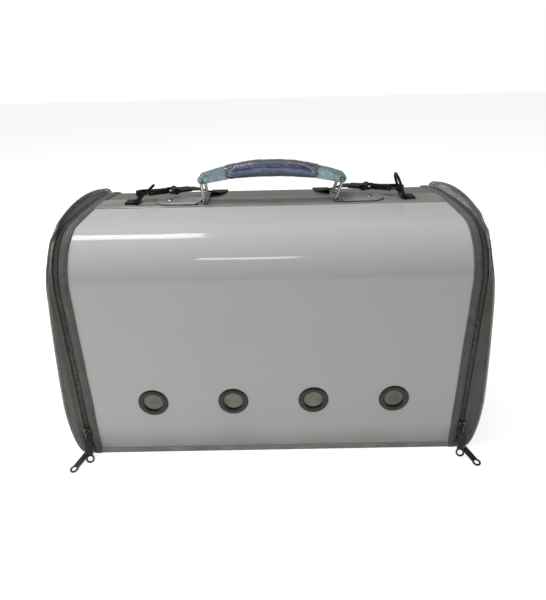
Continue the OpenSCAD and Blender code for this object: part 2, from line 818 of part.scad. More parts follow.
module hook_gate(side) {
    color("dimgray") at_hook(side) difference() {
        plate(gate_thickness) gate_shape(0);
        plate(gate_thickness + 2) translate(gate_pivot) circle(r = gate_pin + 0.08, $fn = 24);
    }
}

// swivelling loop for the webbing, held by the post in its collar
module hook_swivel(side) {
    thick = 3.2;
    color("black") at_hook(side) difference() {
        union() {
            translate([frame_start, 0, 0]) rotate([0, 90, 0]) cylinder(d = 6.4, h = collar_length);
            plate(thick) translate([far_bar_x - frame_bar / 2, -frame_half - frame_bar])
                square([frame_start - far_bar_x + frame_bar / 2, 2 * (frame_half + frame_bar)]);
        }
        translate([frame_start - 1.6, 0, 0]) rotate([0, 90, 0])
            cylinder(r = post_radius + 0.06, h = collar_length + 2, $fn = 32);
        plate(10) translate([far_bar_x + frame_bar / 2, -frame_half])
            square([frame_start - far_bar_x - frame_bar / 2 - 0.3, 2 * frame_half]);
        translate([frame_start - 2, 0, 0]) rotate([0, 90, 0]) cylinder(r = post_radius + 1.2, h = 2);
    }
}

loop_inner = 1.9;
strap_end_length = 18;
strap_end_x = far_bar_x - strap_end_length;

// webbing folded round the loop's far bar and sewn to itself
module strap_end(side) {
    color("midnightblue") at_hook(side) difference() {
        across_y(-webbing_width / 2, webbing_width / 2) union() {
            translate([far_bar_x, 0]) circle(r = loop_inner + 0.4 + webbing_thickness);
            translate([strap_end_x, -webbing_thickness]) square([strap_end_length, 2 * webbing_thickness]);
        }
        across_y(-webbing_width, webbing_width) translate([far_bar_x, 0]) circle(r = loop_inner + 0.4);
    }
}

// ---- shoulder strap: flat webbing, its route chosen by hand ----

// middle line of the right-hand half: from the strap end over the rear shoulder to the floor
strap_leg = [
    [92.9, 30.3, 262], [89, 31.7, 261.8], [85.4, 33, 261.4], [78.9, 36.2, 259.6], [73.1, 40.7, 256.8],
    [69, 46.3, 254.2], [66.2, 52.8, 252.6], [64.6, 59.8, 251.6], [64, 66, 250.9], [64, 75.7, 250.1],
    [64, 85.1, 248.4], [64, 98.2, 243], [64, 109.4, 234.4], [64, 118, 223.2], [64, 123.4, 210.1],
    [64, 125.4, 196], [64, 125.6, 175], [64, 125.6, 150], [64, 125.6, 120], [64, 125.6, 90],
    [64, 125.6, 60], [64, 125.8, 40], [64, 126.8, 26], [64, 129.2, 15], [64, 134, 7], [64.2, 141.5, 2.9],
    [64.6, 151, 1.4]
];

// and its half of the loop that lies on the floor behind
strap_loop = [
    [65.8, 166, 1.1], [68.2, 183, 1.1], [70.5, 200, 1.1], [70, 218, 1.1], [63, 235, 1.1],
    [50, 248, 1.1], [32, 257, 1.1], [12, 261, 1.1]
];

half_route = concat(strap_leg, strap_loop);
left_shift = hook_x_left - hook_x_right;
strap_route = concat(half_route,
    [for (i = [len(half_route) - 1:-1:0]) let(p = half_route[i]) [-p[0] - left_shift, p[1], p[2]]]);

function route_step(i) = strap_route[min(i + 1, len(strap_route) - 1)] - strap_route[max(i - 1, 0)];

// webbing keeps its width level; where it hangs straight down it keeps facing the rear
function across(i) = let(d = route_step(i),
    h = norm([d[0], d[1]]) > 0.6 ? [d[0], d[1]] : [0, i < len(strap_route) / 2 ? 1 : -1])
    [h[1], -h[0], 0] / norm(h);

function unit(v) = v / norm(v);

module shoulder_strap() {
    half = webbing_width / 2;
    thin = webbing_thickness / 2;
    section = [[-1, -0.4], [-0.94, -1], [0.94, -1], [1, -0.4], [1, 0.4], [0.94, 1], [-0.94, 1], [-1, 0.4]];
    sides = len(section);
    rings = len(strap_route);
    points = [for (i = [0:rings - 1])
        let(w = across(i), n = unit(cross(w, unit(route_step(i)))))
        for (p = section) strap_route[i] + w * p[0] * half + n * p[1] * thin];
    color("midnightblue") polyhedron(points, concat(
        [[for (k = [sides - 1:-1:0]) k]],
        [for (i = [0:rings - 2]) for (k = [0:sides - 1])
            let(a = i * sides + k, b = i * sides + (k + 1) % sides)
            each [[a, b, a + sides], [b, b + sides, a + sides]]],
        [[for (k = [0:sides - 1]) (rings - 1) * sides + k]]));
}

// three-bar adjuster, threaded by the strap where it hangs at the back
adjuster_z = 120;
hang_x = 64;
hang_y = 125.6;

module strap_adjuster() {
    gap = webbing_thickness / 2 + fit_gap;
    bar = 1.6;
    height = 22;
    color("black") translate([hang_x, hang_y, adjuster_z]) {
        for (z = [-1, 1]) translate([-frame_half - frame_bar, -gap - bar, z * (height / 2 - 1.5) - 1.5])
            cube([2 * (frame_half + frame_bar), bar, 3]);
        translate([-frame_half - frame_bar, gap, -2]) cube([2 * (frame_half + frame_bar), bar, 4]);
        for (s = [-1, 1]) translate([s * (frame_half + frame_bar / 2) - frame_bar / 2, -gap - bar, -height / 2])
            cube([frame_bar, 2 * (gap + bar), height]);
    }
}

base_board();
floor_mat();
front_panel();
back_panel();
top_strip();
base_trim();
hinge_flaps();
binding(-1);  // binding_left
binding(1);  // binding_right
body_zip(-1);  // body_zip_left
body_zip(1);  // body_zip_right
eyelets_front();
eyelets_back();
anchor(-1);  // anchor_left
anchor(1);  // anchor_right
anchor_rivets();
door_band(-1);  // door_band_left
door_band(1);  // door_band_right
door_panel(-1);  // door_panel_left
door_panel(1);  // door_panel_right
door_mesh(-1);  // door_mesh_left
door_mesh(1);  // door_mesh_right
door_tape(-1);  // door_tape_left
door_tape(1);  // door_tape_right
door_edging(-1);  // door_edging_left
door_edging(1);  // door_edging_right
door_zip(-1);  // door_zip_left
door_zip(1);  // door_zip_right
slider(-1, low_slider_z);  // slider_left_low
slider(-1, up_slider_z);  // slider_left_up
slider(1, low_slider_z);  // slider_right_low
slider(1, up_slider_z);  // slider_right_up
pull(-1, low_slider_z, low_tip_z, lower_pull_turn);  // pull_left_low
pull(-1, up_slider_z, up_tip_z, -upper_pull_turn);  // pull_left_up
pull(1, low_slider_z, low_tip_z, lower_pull_turn);  // pull_right_low
pull(1, up_slider_z, up_tip_z, -upper_pull_turn);  // pull_right_up
ring(-1);  // ring_left
ring(1);  // ring_right
handle_grip();
handle_tab(-1);  // handle_tab_left
handle_tab(1);  // handle_tab_right
dring_tab(-1);  // dring_tab_left
dring_tab(1);  // dring_tab_right
dring(-1);  // dring_left
dring(1);  // dring_right
hook(-1);  // hook_left
hook(1);  // hook_right
hook_gate(-1);  // hook_gate_left
hook_gate(1);  // hook_gate_right
hook_swivel(-1);  // hook_swivel_left
hook_swivel(1);  // hook_swivel_right
strap_end(-1);  // strap_end_left
strap_end(1);  // strap_end_right
shoulder_strap();
strap_adjuster();
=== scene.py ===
import math

import bmesh
import bpy
import numpy as np
from mathutils import Matrix, Vector, noise


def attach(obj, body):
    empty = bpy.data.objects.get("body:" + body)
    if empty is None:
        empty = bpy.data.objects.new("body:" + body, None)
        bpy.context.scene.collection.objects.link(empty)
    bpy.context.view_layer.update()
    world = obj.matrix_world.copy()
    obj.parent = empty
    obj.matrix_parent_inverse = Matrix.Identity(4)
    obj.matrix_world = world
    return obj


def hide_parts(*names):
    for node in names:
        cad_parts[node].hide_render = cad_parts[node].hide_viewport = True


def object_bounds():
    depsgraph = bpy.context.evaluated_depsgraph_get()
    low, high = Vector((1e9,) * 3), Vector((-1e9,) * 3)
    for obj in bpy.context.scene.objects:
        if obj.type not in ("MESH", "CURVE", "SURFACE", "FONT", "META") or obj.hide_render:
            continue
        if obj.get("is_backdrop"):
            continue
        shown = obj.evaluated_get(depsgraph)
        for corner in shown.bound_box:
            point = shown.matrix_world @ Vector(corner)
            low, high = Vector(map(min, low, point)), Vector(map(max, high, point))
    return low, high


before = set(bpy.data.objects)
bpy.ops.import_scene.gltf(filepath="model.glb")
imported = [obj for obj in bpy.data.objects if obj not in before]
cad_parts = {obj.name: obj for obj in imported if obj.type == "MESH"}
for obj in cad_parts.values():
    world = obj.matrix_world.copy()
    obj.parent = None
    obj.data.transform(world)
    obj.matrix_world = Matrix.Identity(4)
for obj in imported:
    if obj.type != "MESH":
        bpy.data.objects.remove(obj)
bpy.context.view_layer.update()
scene = bpy.context.scene

# ---- Camera, floor and light ----
# The camera stands a little to the right of the carrier's middle and looks 23 degrees down on it.
# The carrier is on a plain white floor that runs out to a white surround. Six soft lamps light it.
eye = Vector((0.0064, -0.5845, 0.3842))
yaw, pitch, roll = -0.0092, 0.4095, -0.0236
sensor_width, focal_pixels, picture_height = 36, 522.2, 600
ahead = Vector((math.sin(yaw) * math.cos(pitch), math.cos(yaw) * math.cos(pitch), -math.sin(pitch)))
level = Vector((math.cos(yaw), -math.sin(yaw), 0))
raised = level.cross(ahead)


def standing(x_axis, y_axis, z_axis, place):
    """The matrix of an object that stands at a place, from its three axes."""
    return Matrix((*zip(x_axis, y_axis, z_axis, place), (0, 0, 0, 1)))


camera = bpy.data.objects.new("camera", bpy.data.cameras.new("camera"))
camera.data.sensor_width = sensor_width
camera.data.lens = focal_pixels * sensor_width / picture_height
camera.data.clip_start = 0.05
camera.matrix_world = standing(level * math.cos(roll) + raised * math.sin(roll),
                               raised * math.cos(roll) - level * math.sin(roll), -ahead, eye)
scene.collection.objects.link(camera)
scene.camera = camera
scene.view_settings.view_transform = "Standard"


def new_material(name):
    """An empty procedural material, its node tree and its Principled shader."""
    material = bpy.data.materials.new(name)
    material.use_nodes = True
    return material, material.node_tree, material.node_tree.nodes["Principled BSDF"]


def plug(made, **settings):
    """Sets a node's properties and inputs (i0 is the first input). A node or a socket as a value is linked."""
    for name, value in settings.items():
        if hasattr(made, name) and name not in made.inputs:
            setattr(made, name, value)
            continue
        socket = made.inputs[int(name[1:]) if name[1:].isdigit() else name.replace("_", " ")]
        if isinstance(value, bpy.types.Node):
            value = value.outputs["Fac" if "Fac" in value.outputs else 0]
        if isinstance(value, bpy.types.NodeSocket):
            made.id_data.links.new(value, socket)
        else:
            socket.default_value = value
    return made


def node(tree, kind, **settings):
    """A new node in a tree, with its properties and inputs set."""
    return plug(tree.nodes.new(kind), **settings)


def calc(tree, operation, *values):
    """A math node over its values."""
    return node(tree, "ShaderNodeMath", operation=operation, **{f"i{i}": value for i, value in enumerate(values)})


def spread(tree, value, low, high, to_low=0.0, to_high=1.0, **more):
    """A value's range from low to high turned into another range."""
    return node(tree, "ShaderNodeMapRange", Value=value, From_Min=low, From_Max=high, To_Min=to_low, To_Max=to_high,
                **more)


floor_size, floor_drop = 9, 0.0003
floor = bpy.data.objects.new("floor", bpy.data.meshes.new("floor"))
floor.data.from_pydata([(x * floor_size, y * floor_size, -floor_drop) for x, y in ((-1, -1), (1, -1), (1, 1), (-1, 1))],
                       [], [(0, 1, 2, 3)])
scene.collection.objects.link(floor)
floor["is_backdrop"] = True
floor_white, tree, shader = new_material("floor_white")
plug(shader, Base_Color=(0.80, 0.785, 0.755, 1), Roughness=0.9, Specular_IOR_Level=0.0)
rays = node(tree, "ShaderNodeLightPath").outputs
either = calc(tree, "MAXIMUM", rays["Is Camera Ray"], rays["Is Glossy Ray"])
glow = node(tree, "ShaderNodeEmission", Color=(1, 1, 1, 1), Strength=calc(tree, "MULTIPLY", either, 0.80))
plug(tree.nodes["Material Output"], Surface=node(tree, "ShaderNodeAddShader", i0=shader, i1=glow))
floor.data.materials.append(floor_white)

scene.world = bpy.data.worlds.new("studio")
scene.world.use_nodes = True
tree = scene.world.node_tree
rays = node(tree, "ShaderNodeLightPath").outputs
direct = calc(tree, "MAXIMUM", rays["Is Camera Ray"], rays["Is Transmission Ray"])
plug(tree.nodes["Background"], Color=(1, 1, 1, 1), Strength=spread(tree, direct, 0.0, 1.0, 0.17, 1.0))

for name, place, target, width, depth, power, mirrored in (
        ("overhead", (-0.75, -0.25, 1.8), (0, 0, 0.15), 1.5, 1.0, 13.5, False),
        ("front_soft", (-0.62, -0.62, 0.02), (0, -0.1, 0.1), 0.4, 0.4, 0.75, False),
        ("left_rim", (-1.0, 0.25, 0.75), (-0.2, 0, 0.2), 0.6, 0.6, 2.2, False),
        ("through_the_sheet", (0, 0, 0.236), (0, 0, 0), 0.34, 0.15, 0.19, False),
        ("rear_tube", (-0.645, 0.40, 2.1), (-0.12, -0.095, 0.242), 0.62, 0.44, 7.2, True),
        ("front_tube", (-0.093, -1.09, 1.2), (-0.02, -0.116, 0.224), 0.355, 0.08, 0.95, True)):
    data = bpy.data.lights.new(name, "AREA")
    data.shape, data.size, data.size_y, data.energy = "RECTANGLE", width, depth, power
    lamp = bpy.data.objects.new(name, data)
    lamp.visible_glossy, lamp.visible_camera = mirrored, False
    scene.collection.objects.link(lamp)
    back = (Vector(place) - Vector(target)).normalized()
    across = Vector((1, 0, 0))
    across = (across - back * across.dot(back)).normalized()
    lamp.matrix_world = standing(across, back.cross(across), back, place)

# ---- Shoulder strap and its adjuster ----
# Flat woven webbing, 20 mm wide, about one metre long, clipped to both strap rings. It runs back over
# the rear shoulder, hangs behind the carrier and lies in one loop on the floor; a bar adjuster sits on it.
MM = 0.001
strap_width, strap_thickness, strap_shift = 20 * MM, 1.4 * MM, 0.1315
strap_side = [
    (92.9, 30.3, 262), (89, 31.7, 261.8), (85.4, 33, 261.4), (78.9, 36.2, 259.6), (73.1, 40.7, 256.8),
    (69, 46.3, 254.2), (66.2, 52.8, 252.6), (64.6, 59.8, 251.6), (64, 66, 250.9), (64, 75.7, 250.1),
    (64, 85.1, 248.4), (64, 98.2, 243), (64, 109.4, 234.4), (64, 118, 223.2), (64, 123.4, 210.1),
    (64, 125.4, 196), (64, 125.6, 175), (64, 125.6, 150), (64, 125.6, 120), (64, 125.6, 90),
    (64, 125.6, 60), (64, 125.8, 40), (64, 126.8, 26), (64, 129.2, 15), (64, 134, 7), (64.2, 141.5, 2.9),
    (64.6, 151, 1.4), (65.8, 166, 1.1), (68.2, 183, 1.1), (70.5, 200, 1.1), (70, 218, 1.1), (63, 235, 1.1),
    (50, 248, 1.1), (32, 257, 1.1), (12, 261, 1.1)]


def mm(x, y, z):
    """A point given in millimetres."""
    return Vector((x, y, z)) * MM


def step_at(line, i):
    """The way from the point before i to the point after it."""
    return line[min(i + 1, len(line) - 1)] - line[max(i - 1, 0)]


def smooth_line(points, parts):
    """A rounder line through the same points."""
    line = []
    for i in range(len(points) - 1):
        a, b = points[max(i - 1, 0)], points[i]
        c, d = points[i + 1], points[min(i + 2, len(points) - 1)]
        for t in [k / parts for k in range(parts)]:
            line.append(0.5 * (2 * b + (c - a) * t + (2 * a - 5 * b + 4 * c - d) * t * t
                               + (3 * b - a - 3 * c + d) * t ** 3))
    return line + [points[-1]]


def mesh_piece(name, mesh, material, body, replaced):
    """A mesh of points, faces and UV that rides on a body and stands for a CAD node, which it hides."""
    points, faces, uvs = (*mesh, None)[:3]
    data = bpy.data.meshes.new(name)
    data.from_pydata([tuple(p) for p in points], [], faces)
    if uvs:
        corners = [corner for face in faces for corner in face]
        for loop, corner in zip(data.uv_layers.new(name="weave").data, corners):
            loop.uv = uvs[corner]
    data.materials.append(material)
    made = bpy.data.objects.new(name, data)
    scene.collection.objects.link(made)
    outward = bmesh.new()
    outward.from_mesh(data)
    bmesh.ops.recalc_face_normals(outward, faces=outward.faces)
    outward.to_mesh(data)
    outward.free()
    data.shade_smooth()
    data.set_sharp_from_angle(angle=math.radians(50))
    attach(made, body)
    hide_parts(replaced)
    return made


def tube(rings, closed=False, shut=True):
    """Points and faces over rings of points; closed joins the last ring to the first, shut caps both ends."""
    sides = len(rings[0])
    points = [p for ring in rings for p in ring]
    faces = []
    for i in range(len(rings) if closed else len(rings) - 1):
        j = (i + 1) % len(rings)
        for k in range(sides):
            n = (k + 1) % sides
            faces.append((i * sides + k, i * sides + n, j * sides + n, j * sides + k))
    if shut and not closed:
        faces.append(tuple(range(sides)))
        faces.append(tuple(reversed(range(len(points) - sides, len(points)))))
    return points, faces


flat_section = [(-1, 0), (-0.985, 0.7), (-0.94, 1), (-0.5, 1), (0, 1), (0.5, 1), (0.94, 1), (0.985, 0.7),
                (1, 0), (0.985, -0.7), (0.94, -1), (0.5, -1), (0, -1), (-0.5, -1), (-0.94, -1), (-0.985, -0.7)]


def webbing(line, across, width, thickness):
    """A flat strip along a line: its points, faces and UV in metres. across is one way, or one at each point."""
    ways = across if isinstance(across, list) else [across] * len(line)
    rings, uvs, run = [], [], 0.0
    for i, (p, way) in enumerate(zip(line, ways)):
        face = way.cross(step_at(line, i).normalized()).normalized()
        run += (p - line[i - 1]).length if i else 0
        rings.append([p + way * (u * width / 2) + face * (v * thickness / 2) for u, v in flat_section])
        uvs += [(u * width / 2 + 0.05, run) for u, v in flat_section]
    return (*tube(rings), uvs)


def cloud(tree, scale, detail, **more):
    """Noise in the carrier's own space."""
    return node(tree, "ShaderNodeTexNoise", Vector=node(tree, "ShaderNodeTexCoord").outputs["Object"], Scale=scale,
                Detail=detail, **more)


def threads(tree, vector, axis, pitch, **more):
    """Waves along an axis at a pitch in metres. A wave texture repeats every 0.31416 m at scale 1."""
    return node(tree, "ShaderNodeTexWave", bands_direction=axis, Vector=vector, Scale=0.31416 / pitch, **more)


def ramp(tree, value, tones):
    """A colour ramp over a value, through tones given as (position, colour)."""
    made = node(tree, "ShaderNodeValToRGB", Fac=value)
    elements = made.color_ramp.elements
    while len(elements) < len(tones):
        elements.new(0.5)
    for element, (position, colour) in zip(elements, tones):
        element.position = position
        element.color = (*colour, 1)
    return made


def shades(tree, value, colour, dark, light, start=0.0):
    """A ramp from a darker to a lighter shade of a colour."""
    return ramp(tree, value, [(start, [c * dark for c in colour]), (1.0, [c * light for c in colour])])


def relief(tree, height, strength, distance, **more):
    """A bump from a height."""
    return node(tree, "ShaderNodeBump", Height=height, Strength=strength, Distance=distance, **more)


def webbing_material(name, colour, rib=0.0014, sheen=0.15):
    """Woven tape: ribs across it and fine picks along it, from its own UV, with a low sheen."""
    material, tree, shader = new_material(name)
    own = node(tree, "ShaderNodeUVMap", uv_map="weave")
    woven = calc(tree, "MULTIPLY", threads(tree, own, "X", rib, Distortion=0.4, Detail=1.0),
                 threads(tree, own, "Y", rib * 0.6, Distortion=0.6, Detail=1.0))
    tone = calc(tree, "MULTIPLY_ADD", woven, 0.6, cloud(tree, 90.0, 3.0))
    plug(shader, Base_Color=shades(tree, tone, colour, 0.55, 1.5, 0.2), Normal=relief(tree, woven, 0.5, 0.0003),
         Roughness=0.7, Sheen_Weight=sheen)
    return material


def moulded_material(name, colour, roughness=0.5):
    """Moulded plastic with a fine grain and faint handling marks."""
    material, tree, shader = new_material(name)
    marks = cloud(tree, 140.0, 4.0)
    plug(shader, Base_Color=shades(tree, marks, colour, 0.8, 1.3),
         Roughness=spread(tree, marks, 0.3, 0.7, roughness - 0.1, roughness + 0.12),
         Normal=relief(tree, cloud(tree, 2600.0, 2.0), 0.12, 0.0002))
    return material


def finish_nodes(material, *names):
    """CAD nodes keep their shape and take a finish."""
    for name in names:
        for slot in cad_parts[name].material_slots:
            slot.material = material


navy_webbing = webbing_material("navy_webbing", (0.012, 0.013, 0.022))
strap_route = [mm(*p) for p in strap_side] + [mm(strap_shift - x, y, z) for x, y, z in reversed(strap_side)]
strap_line = smooth_line(strap_route, 3)
strap_across = []
for i in range(len(strap_line)):
    step = step_at(strap_line, i)
    flat = Vector((step.x, step.y, 0))
    if flat.length < 0.08 * step.length:
        flat = Vector((0, 1 if i < len(strap_line) / 2 else -1, 0))
    strap_across.append(Vector((flat.y, -flat.x, 0)).normalized())
strap = mesh_piece("shoulder_webbing", webbing(strap_line, strap_across, strap_width, strap_thickness), navy_webbing,
                   "carrier", "shoulder_strap")
finish_nodes(moulded_material("black_plastic", (0.02, 0.02, 0.022)), "strap_adjuster")
strap_length = sum((b - a).length for a, b in zip(strap_line, strap_line[1:]))
tuple(strap_route[0])
[tuple(p) for p in strap_line]

# ---- Bent plastic sheet ----
# One glossy grey-white sheet is bent into a tunnel and stitched along its edges. Its two halves, front
# and back, meet under the strip on the crown. Round holes take the eyelets.
half_sheet, tuck, sheet_thickness, sheet_columns, crown_gap = 192.0, 7.0, 1.2, 48, 1.5
shoulder, rise, depth_half, height, lean = 53.0, 3.0, 124.0, 252.0, math.radians(2.2)
shoulder_y, shoulder_z = depth_half - shoulder, height - shoulder - rise
crown = (shoulder_y ** 2 + (shoulder + rise) ** 2 - shoulder ** 2) / (2 * rise)
crown_half = math.atan2(shoulder_y, shoulder_z - height + crown)
hole_spacing, hole_height, hole_radius, flat_low, flat_high = 85, 66, 0.0116, 40, 92


def side_y(z, g=0.0):
    """Distance of the sheet's side from the middle plane at height z, grown by g, in millimetres."""
    return shoulder_y + (shoulder + g) / math.cos(lean) - (shoulder_z - z) * math.tan(lean)


def arch_line(foot, side_step, shoulder_parts, crown_parts):
    """Stations along the arch, from the front foot over the crown to the back foot: y, z and outward normal."""
    count = max(1, round((shoulder_z - foot) / side_step))
    front = []
    for i in range(count):
        z = foot + (shoulder_z - shoulder * math.sin(lean) - foot) * i / count
        front.append((-side_y(z), z, -math.cos(lean), -math.sin(lean)))
    turn = math.pi / 2 - crown_half + lean
    for i in range(shoulder_parts + 1):
        a = math.pi + lean - turn * i / shoulder_parts
        front.append((-shoulder_y + shoulder * math.cos(a), shoulder_z + shoulder * math.sin(a),
                      math.cos(a), math.sin(a)))
    for i in range(1, crown_parts // 2 + 1):
        a = math.pi / 2 + crown_half * (1 - 2 * i / crown_parts)
        front.append((crown * math.cos(a), height - crown + crown * math.sin(a), math.cos(a), math.sin(a)))
    return front + [(-y, z, -ny, nz) for y, z, ny, nz in reversed(front[:-1])]


def with_run(stations):
    """Each station after the distance run from the first one."""
    run, before = 0.0, stations[0]
    for station in stations:
        run += math.hypot(station[0] - before[0], station[1] - before[1])
        before = station
        yield run, *station


def wander(*place):
    """A smooth random value at a place, between -1 and 1."""
    return noise.noise(Vector(place))


def evaluated_mesh(obj):
    """A new mesh of an object with its modifiers applied."""
    bpy.context.view_layer.update()
    return bpy.data.meshes.new_from_object(obj.evaluated_get(bpy.context.evaluated_depsgraph_get()))


gloss_sheet, tree, shader = new_material("gloss_sheet")
# The sheet's colour is multiplied down from 1.0 to 0.62 between about 46 mm and 6 mm above the floor. This is painted
# shade where the floor's contact shade falls on it.
tall = node(tree, "ShaderNodeSeparateXYZ", Vector=node(tree, "ShaderNodeTexCoord").outputs["Object"])
foot = calc(tree, "MULTIPLY_ADD", cloud(tree, 16.0, 3.0), 0.02, tall.outputs["Z"])
painted_shade_tone = node(tree, "ShaderNodeMix", data_type="RGBA", blend_type="MULTIPLY", i0=1.0,
             i6=ramp(tree, cloud(tree, 7.0, 3.0), [(0.0, (0.70, 0.702, 0.70)), (1.0, (0.76, 0.762, 0.758))]),
             i7=spread(tree, foot, 0.006, 0.046, 0.62, 1.0, interpolation_type="SMOOTHSTEP"))
plug(shader, Base_Color=painted_shade_tone.outputs[2], IOR=1.5,
     Roughness=spread(tree, cloud(tree, 55.0, 6.0, Roughness=0.7), 0.35, 0.75, 0.06, 0.14))
# The back half takes a darker, taupe copy of the same sheet finish: painted shade and painted reflection on one and the
# same sheet.
back_sheet_painted_shade = gloss_sheet.copy()
back_sheet_painted_shade.name = "back_sheet_painted_shade"
for element, colour in zip(back_sheet_painted_shade.node_tree.nodes["Color Ramp"].color_ramp.elements,
                           ((0.23, 0.225, 0.20, 1), (0.27, 0.265, 0.24, 1))):
    element.color = colour

for sign, face, material in ((-1, "front", gloss_sheet), (1, "back", back_sheet_painted_shade)):
    keep = list(with_run([station for station in arch_line(0.0, 8.0, 26, 14) if station[0] * sign > crown_gap]))
    points, faces = [], []
    rows = len(keep)
    for layer in (0.0, -sheet_thickness):
        for c in range(sheet_columns + 1):
            x = -half_sheet - tuck + 2 * (half_sheet + tuck) * c / sheet_columns
            hem = min(1.0, (half_sheet + tuck - abs(x)) / 60)
            for s, y, z, ny, nz in keep:
                ease = hem * min(1.0, z / 60) * min(1.0, (height - z) / 17) * (0.0 if flat_low < z < flat_high else 1.0)
                ripple = 0.35 * wander(x / 110, s / 70, 1.7) + 0.12 * wander(x / 45, s / 30, 5.1)
                g = layer + ripple * ease
                points.append(mm(x, y + ny * g, z + nz * g))
    size = rows * (sheet_columns + 1)
    for c in range(sheet_columns):
        for a in range(c * rows, (c + 1) * rows - 1):
            b = a + rows
            faces += [(a, b, b + 1, a + 1), (a + size, a + size + 1, b + size + 1, b + size)]
    rim = [c * rows for c in range(sheet_columns + 1)]
    rim += [sheet_columns * rows + k for k in range(1, rows)]
    rim += [c * rows + rows - 1 for c in range(sheet_columns - 1, -1, -1)]
    rim += list(range(rows - 2, 0, -1))
    faces += [(a, a + size, b + size, b) for a, b in zip(rim, rim[1:] + rim[:1])]
    panel = mesh_piece(f"sheet_{face}", (points, faces), material, "carrier", f"{face}_panel")
    holes = bmesh.new()
    for i in range(4):
        middle = mm((i - 1.5) * hole_spacing, sign * side_y(hole_height), hole_height)
        turned = Vector((0, sign * math.cos(lean), -math.sin(lean))).to_track_quat("Z", "Y").to_matrix().to_4x4()
        bmesh.ops.create_cone(holes, cap_ends=True, segments=48, radius1=hole_radius, radius2=hole_radius,
                              depth=0.01, matrix=Matrix.Translation(middle) @ turned)
    punch = bpy.data.objects.new("punch", bpy.data.meshes.new("punch"))
    holes.to_mesh(punch.data)
    holes.free()
    scene.collection.objects.link(punch)
    cut = panel.modifiers.new("holes", "BOOLEAN")
    cut.operation, cut.object, cut.solver = "DIFFERENCE", punch, "EXACT"
    cut_mesh = evaluated_mesh(panel)
    panel.modifiers.remove(cut)
    panel.data = cut_mesh
    bpy.data.objects.remove(punch)

# ---- Base board, trim, hinge flaps and floor mat ----
# A stiff board covered in dark woven cloth makes the floor. A folded tape trims the sheet's lower edge,
# and a thin fabric flap joins each door to the base. A quilted foam mat lies loose inside.
board_cover, tree, shader = new_material("board_cover")
place = node(tree, "ShaderNodeTexCoord").outputs["Object"]
woven = calc(tree, "MULTIPLY", threads(tree, place, "X", 0.0011, Distortion=0.3),
             threads(tree, place, "Y", 0.0011, Distortion=0.3))
tone = calc(tree, "MULTIPLY_ADD", woven, 0.5, cloud(tree, 70.0, 3.0))
plug(shader, Base_Color=shades(tree, tone, (0.035, 0.035, 0.033), 0.5, 1.5), Normal=relief(tree, woven, 0.4, 0.0003),
     Roughness=0.8)
finish_nodes(board_cover, "base_board")


def joined(meshes, uvs=None):
    """Several meshes' points and faces as one mesh."""
    points, faces = [], []
    for mesh in meshes:
        faces += [tuple(p + len(points) for p in face) for face in mesh[1]]
        points += mesh[0]
    return points, faces, uvs


trim_section = [(0.0, 0.05), (0.9, 0.0), (1.25, 0.3), (1.35, 2.6), (1.3, 5.2), (1.0, 5.9), (0.6, 6.1), (0.05, 5.9)]
trim_parts = 96
meshes, uvs = [], []
for sign in (-1, 1):
    rings = []
    for i in range(trim_parts + 1):
        x = -half_sheet + 2 * half_sheet * i / trim_parts
        wave = 0.10 * wander(x / 16, sign, 3)
        rings.append([mm(x, sign * side_y(z, g + (wave if g > 0.5 else 0)), z) for g, z in trim_section])
        uvs += [(z * MM, x * MM + 1) for g, z in trim_section]
    meshes.append(tube(rings))
mesh_piece("lower_trim", joined(meshes, uvs), webbing_material("trim_fabric", (0.36, 0.355, 0.33), 0.0011), "carrier",
           "base_trim")

flap_half, flap_parts = 114.8, 40
meshes, uvs = [], []
for sign in (-1, 1):
    rings = []
    for i in range(flap_parts + 1):
        y = -flap_half + 2 * flap_half * i / flap_parts
        sag = 0.08 * wander(y / 20, sign, 0)
        rings.append([mm(sign * x, y, z) for x, z in (
            (200, 0.02), (207, 0.02), (213.6, 0.02), (214, 0.3), (213.6, 0.58), (207, 0.58 + sag), (200, 0.6))])
        uvs += [(x * MM, y * MM) for x in (200, 207, 213, 214, 213, 207, 200)]
    meshes.append(tube(rings))
mesh_piece("fabric_hinges", joined(meshes, uvs), webbing_material("flap_fabric", (0.04, 0.04, 0.037), 0.0011),
           "carrier", "hinge_flaps")


def inflate(obj, held, pressure, frames, stiffness, bending, limit):
    """Blows a closed mesh up as sewn cloth under air pressure. Held vertices stay, and limit trims the moves."""
    group = obj.vertex_groups.new(name="held")
    group.add(held, 1.0, "REPLACE")
    cloth = obj.modifiers.new("filling", "CLOTH")
    settings = cloth.settings
    settings.quality = 6
    settings.mass = 0.12
    settings.tension_stiffness = settings.compression_stiffness = stiffness
    settings.shear_stiffness = stiffness * 0.6
    settings.bending_stiffness = bending
    settings.use_pressure = True
    settings.uniform_pressure_force = pressure
    settings.effector_weights.gravity = 0
    settings.vertex_group_mass = "held"
    cloth.collision_settings.use_collision = False
    cloth.point_cache.frame_start, cloth.point_cache.frame_end = 1, frames
    before, after = np.empty((2, len(obj.data.vertices) * 3))
    obj.data.vertices.foreach_get("co", before)
    for frame_number in range(1, frames + 1):
        scene.frame_set(frame_number)
    blown = evaluated_mesh(obj)
    obj.modifiers.remove(cloth)
    scene.frame_set(1)
    blown.vertices.foreach_get("co", after)
    bpy.data.meshes.remove(blown)
    moves = limit((after - before).reshape(-1, 3))
    obj.data.vertices.foreach_set("co", before + moves.ravel())
    obj.vertex_groups.clear()


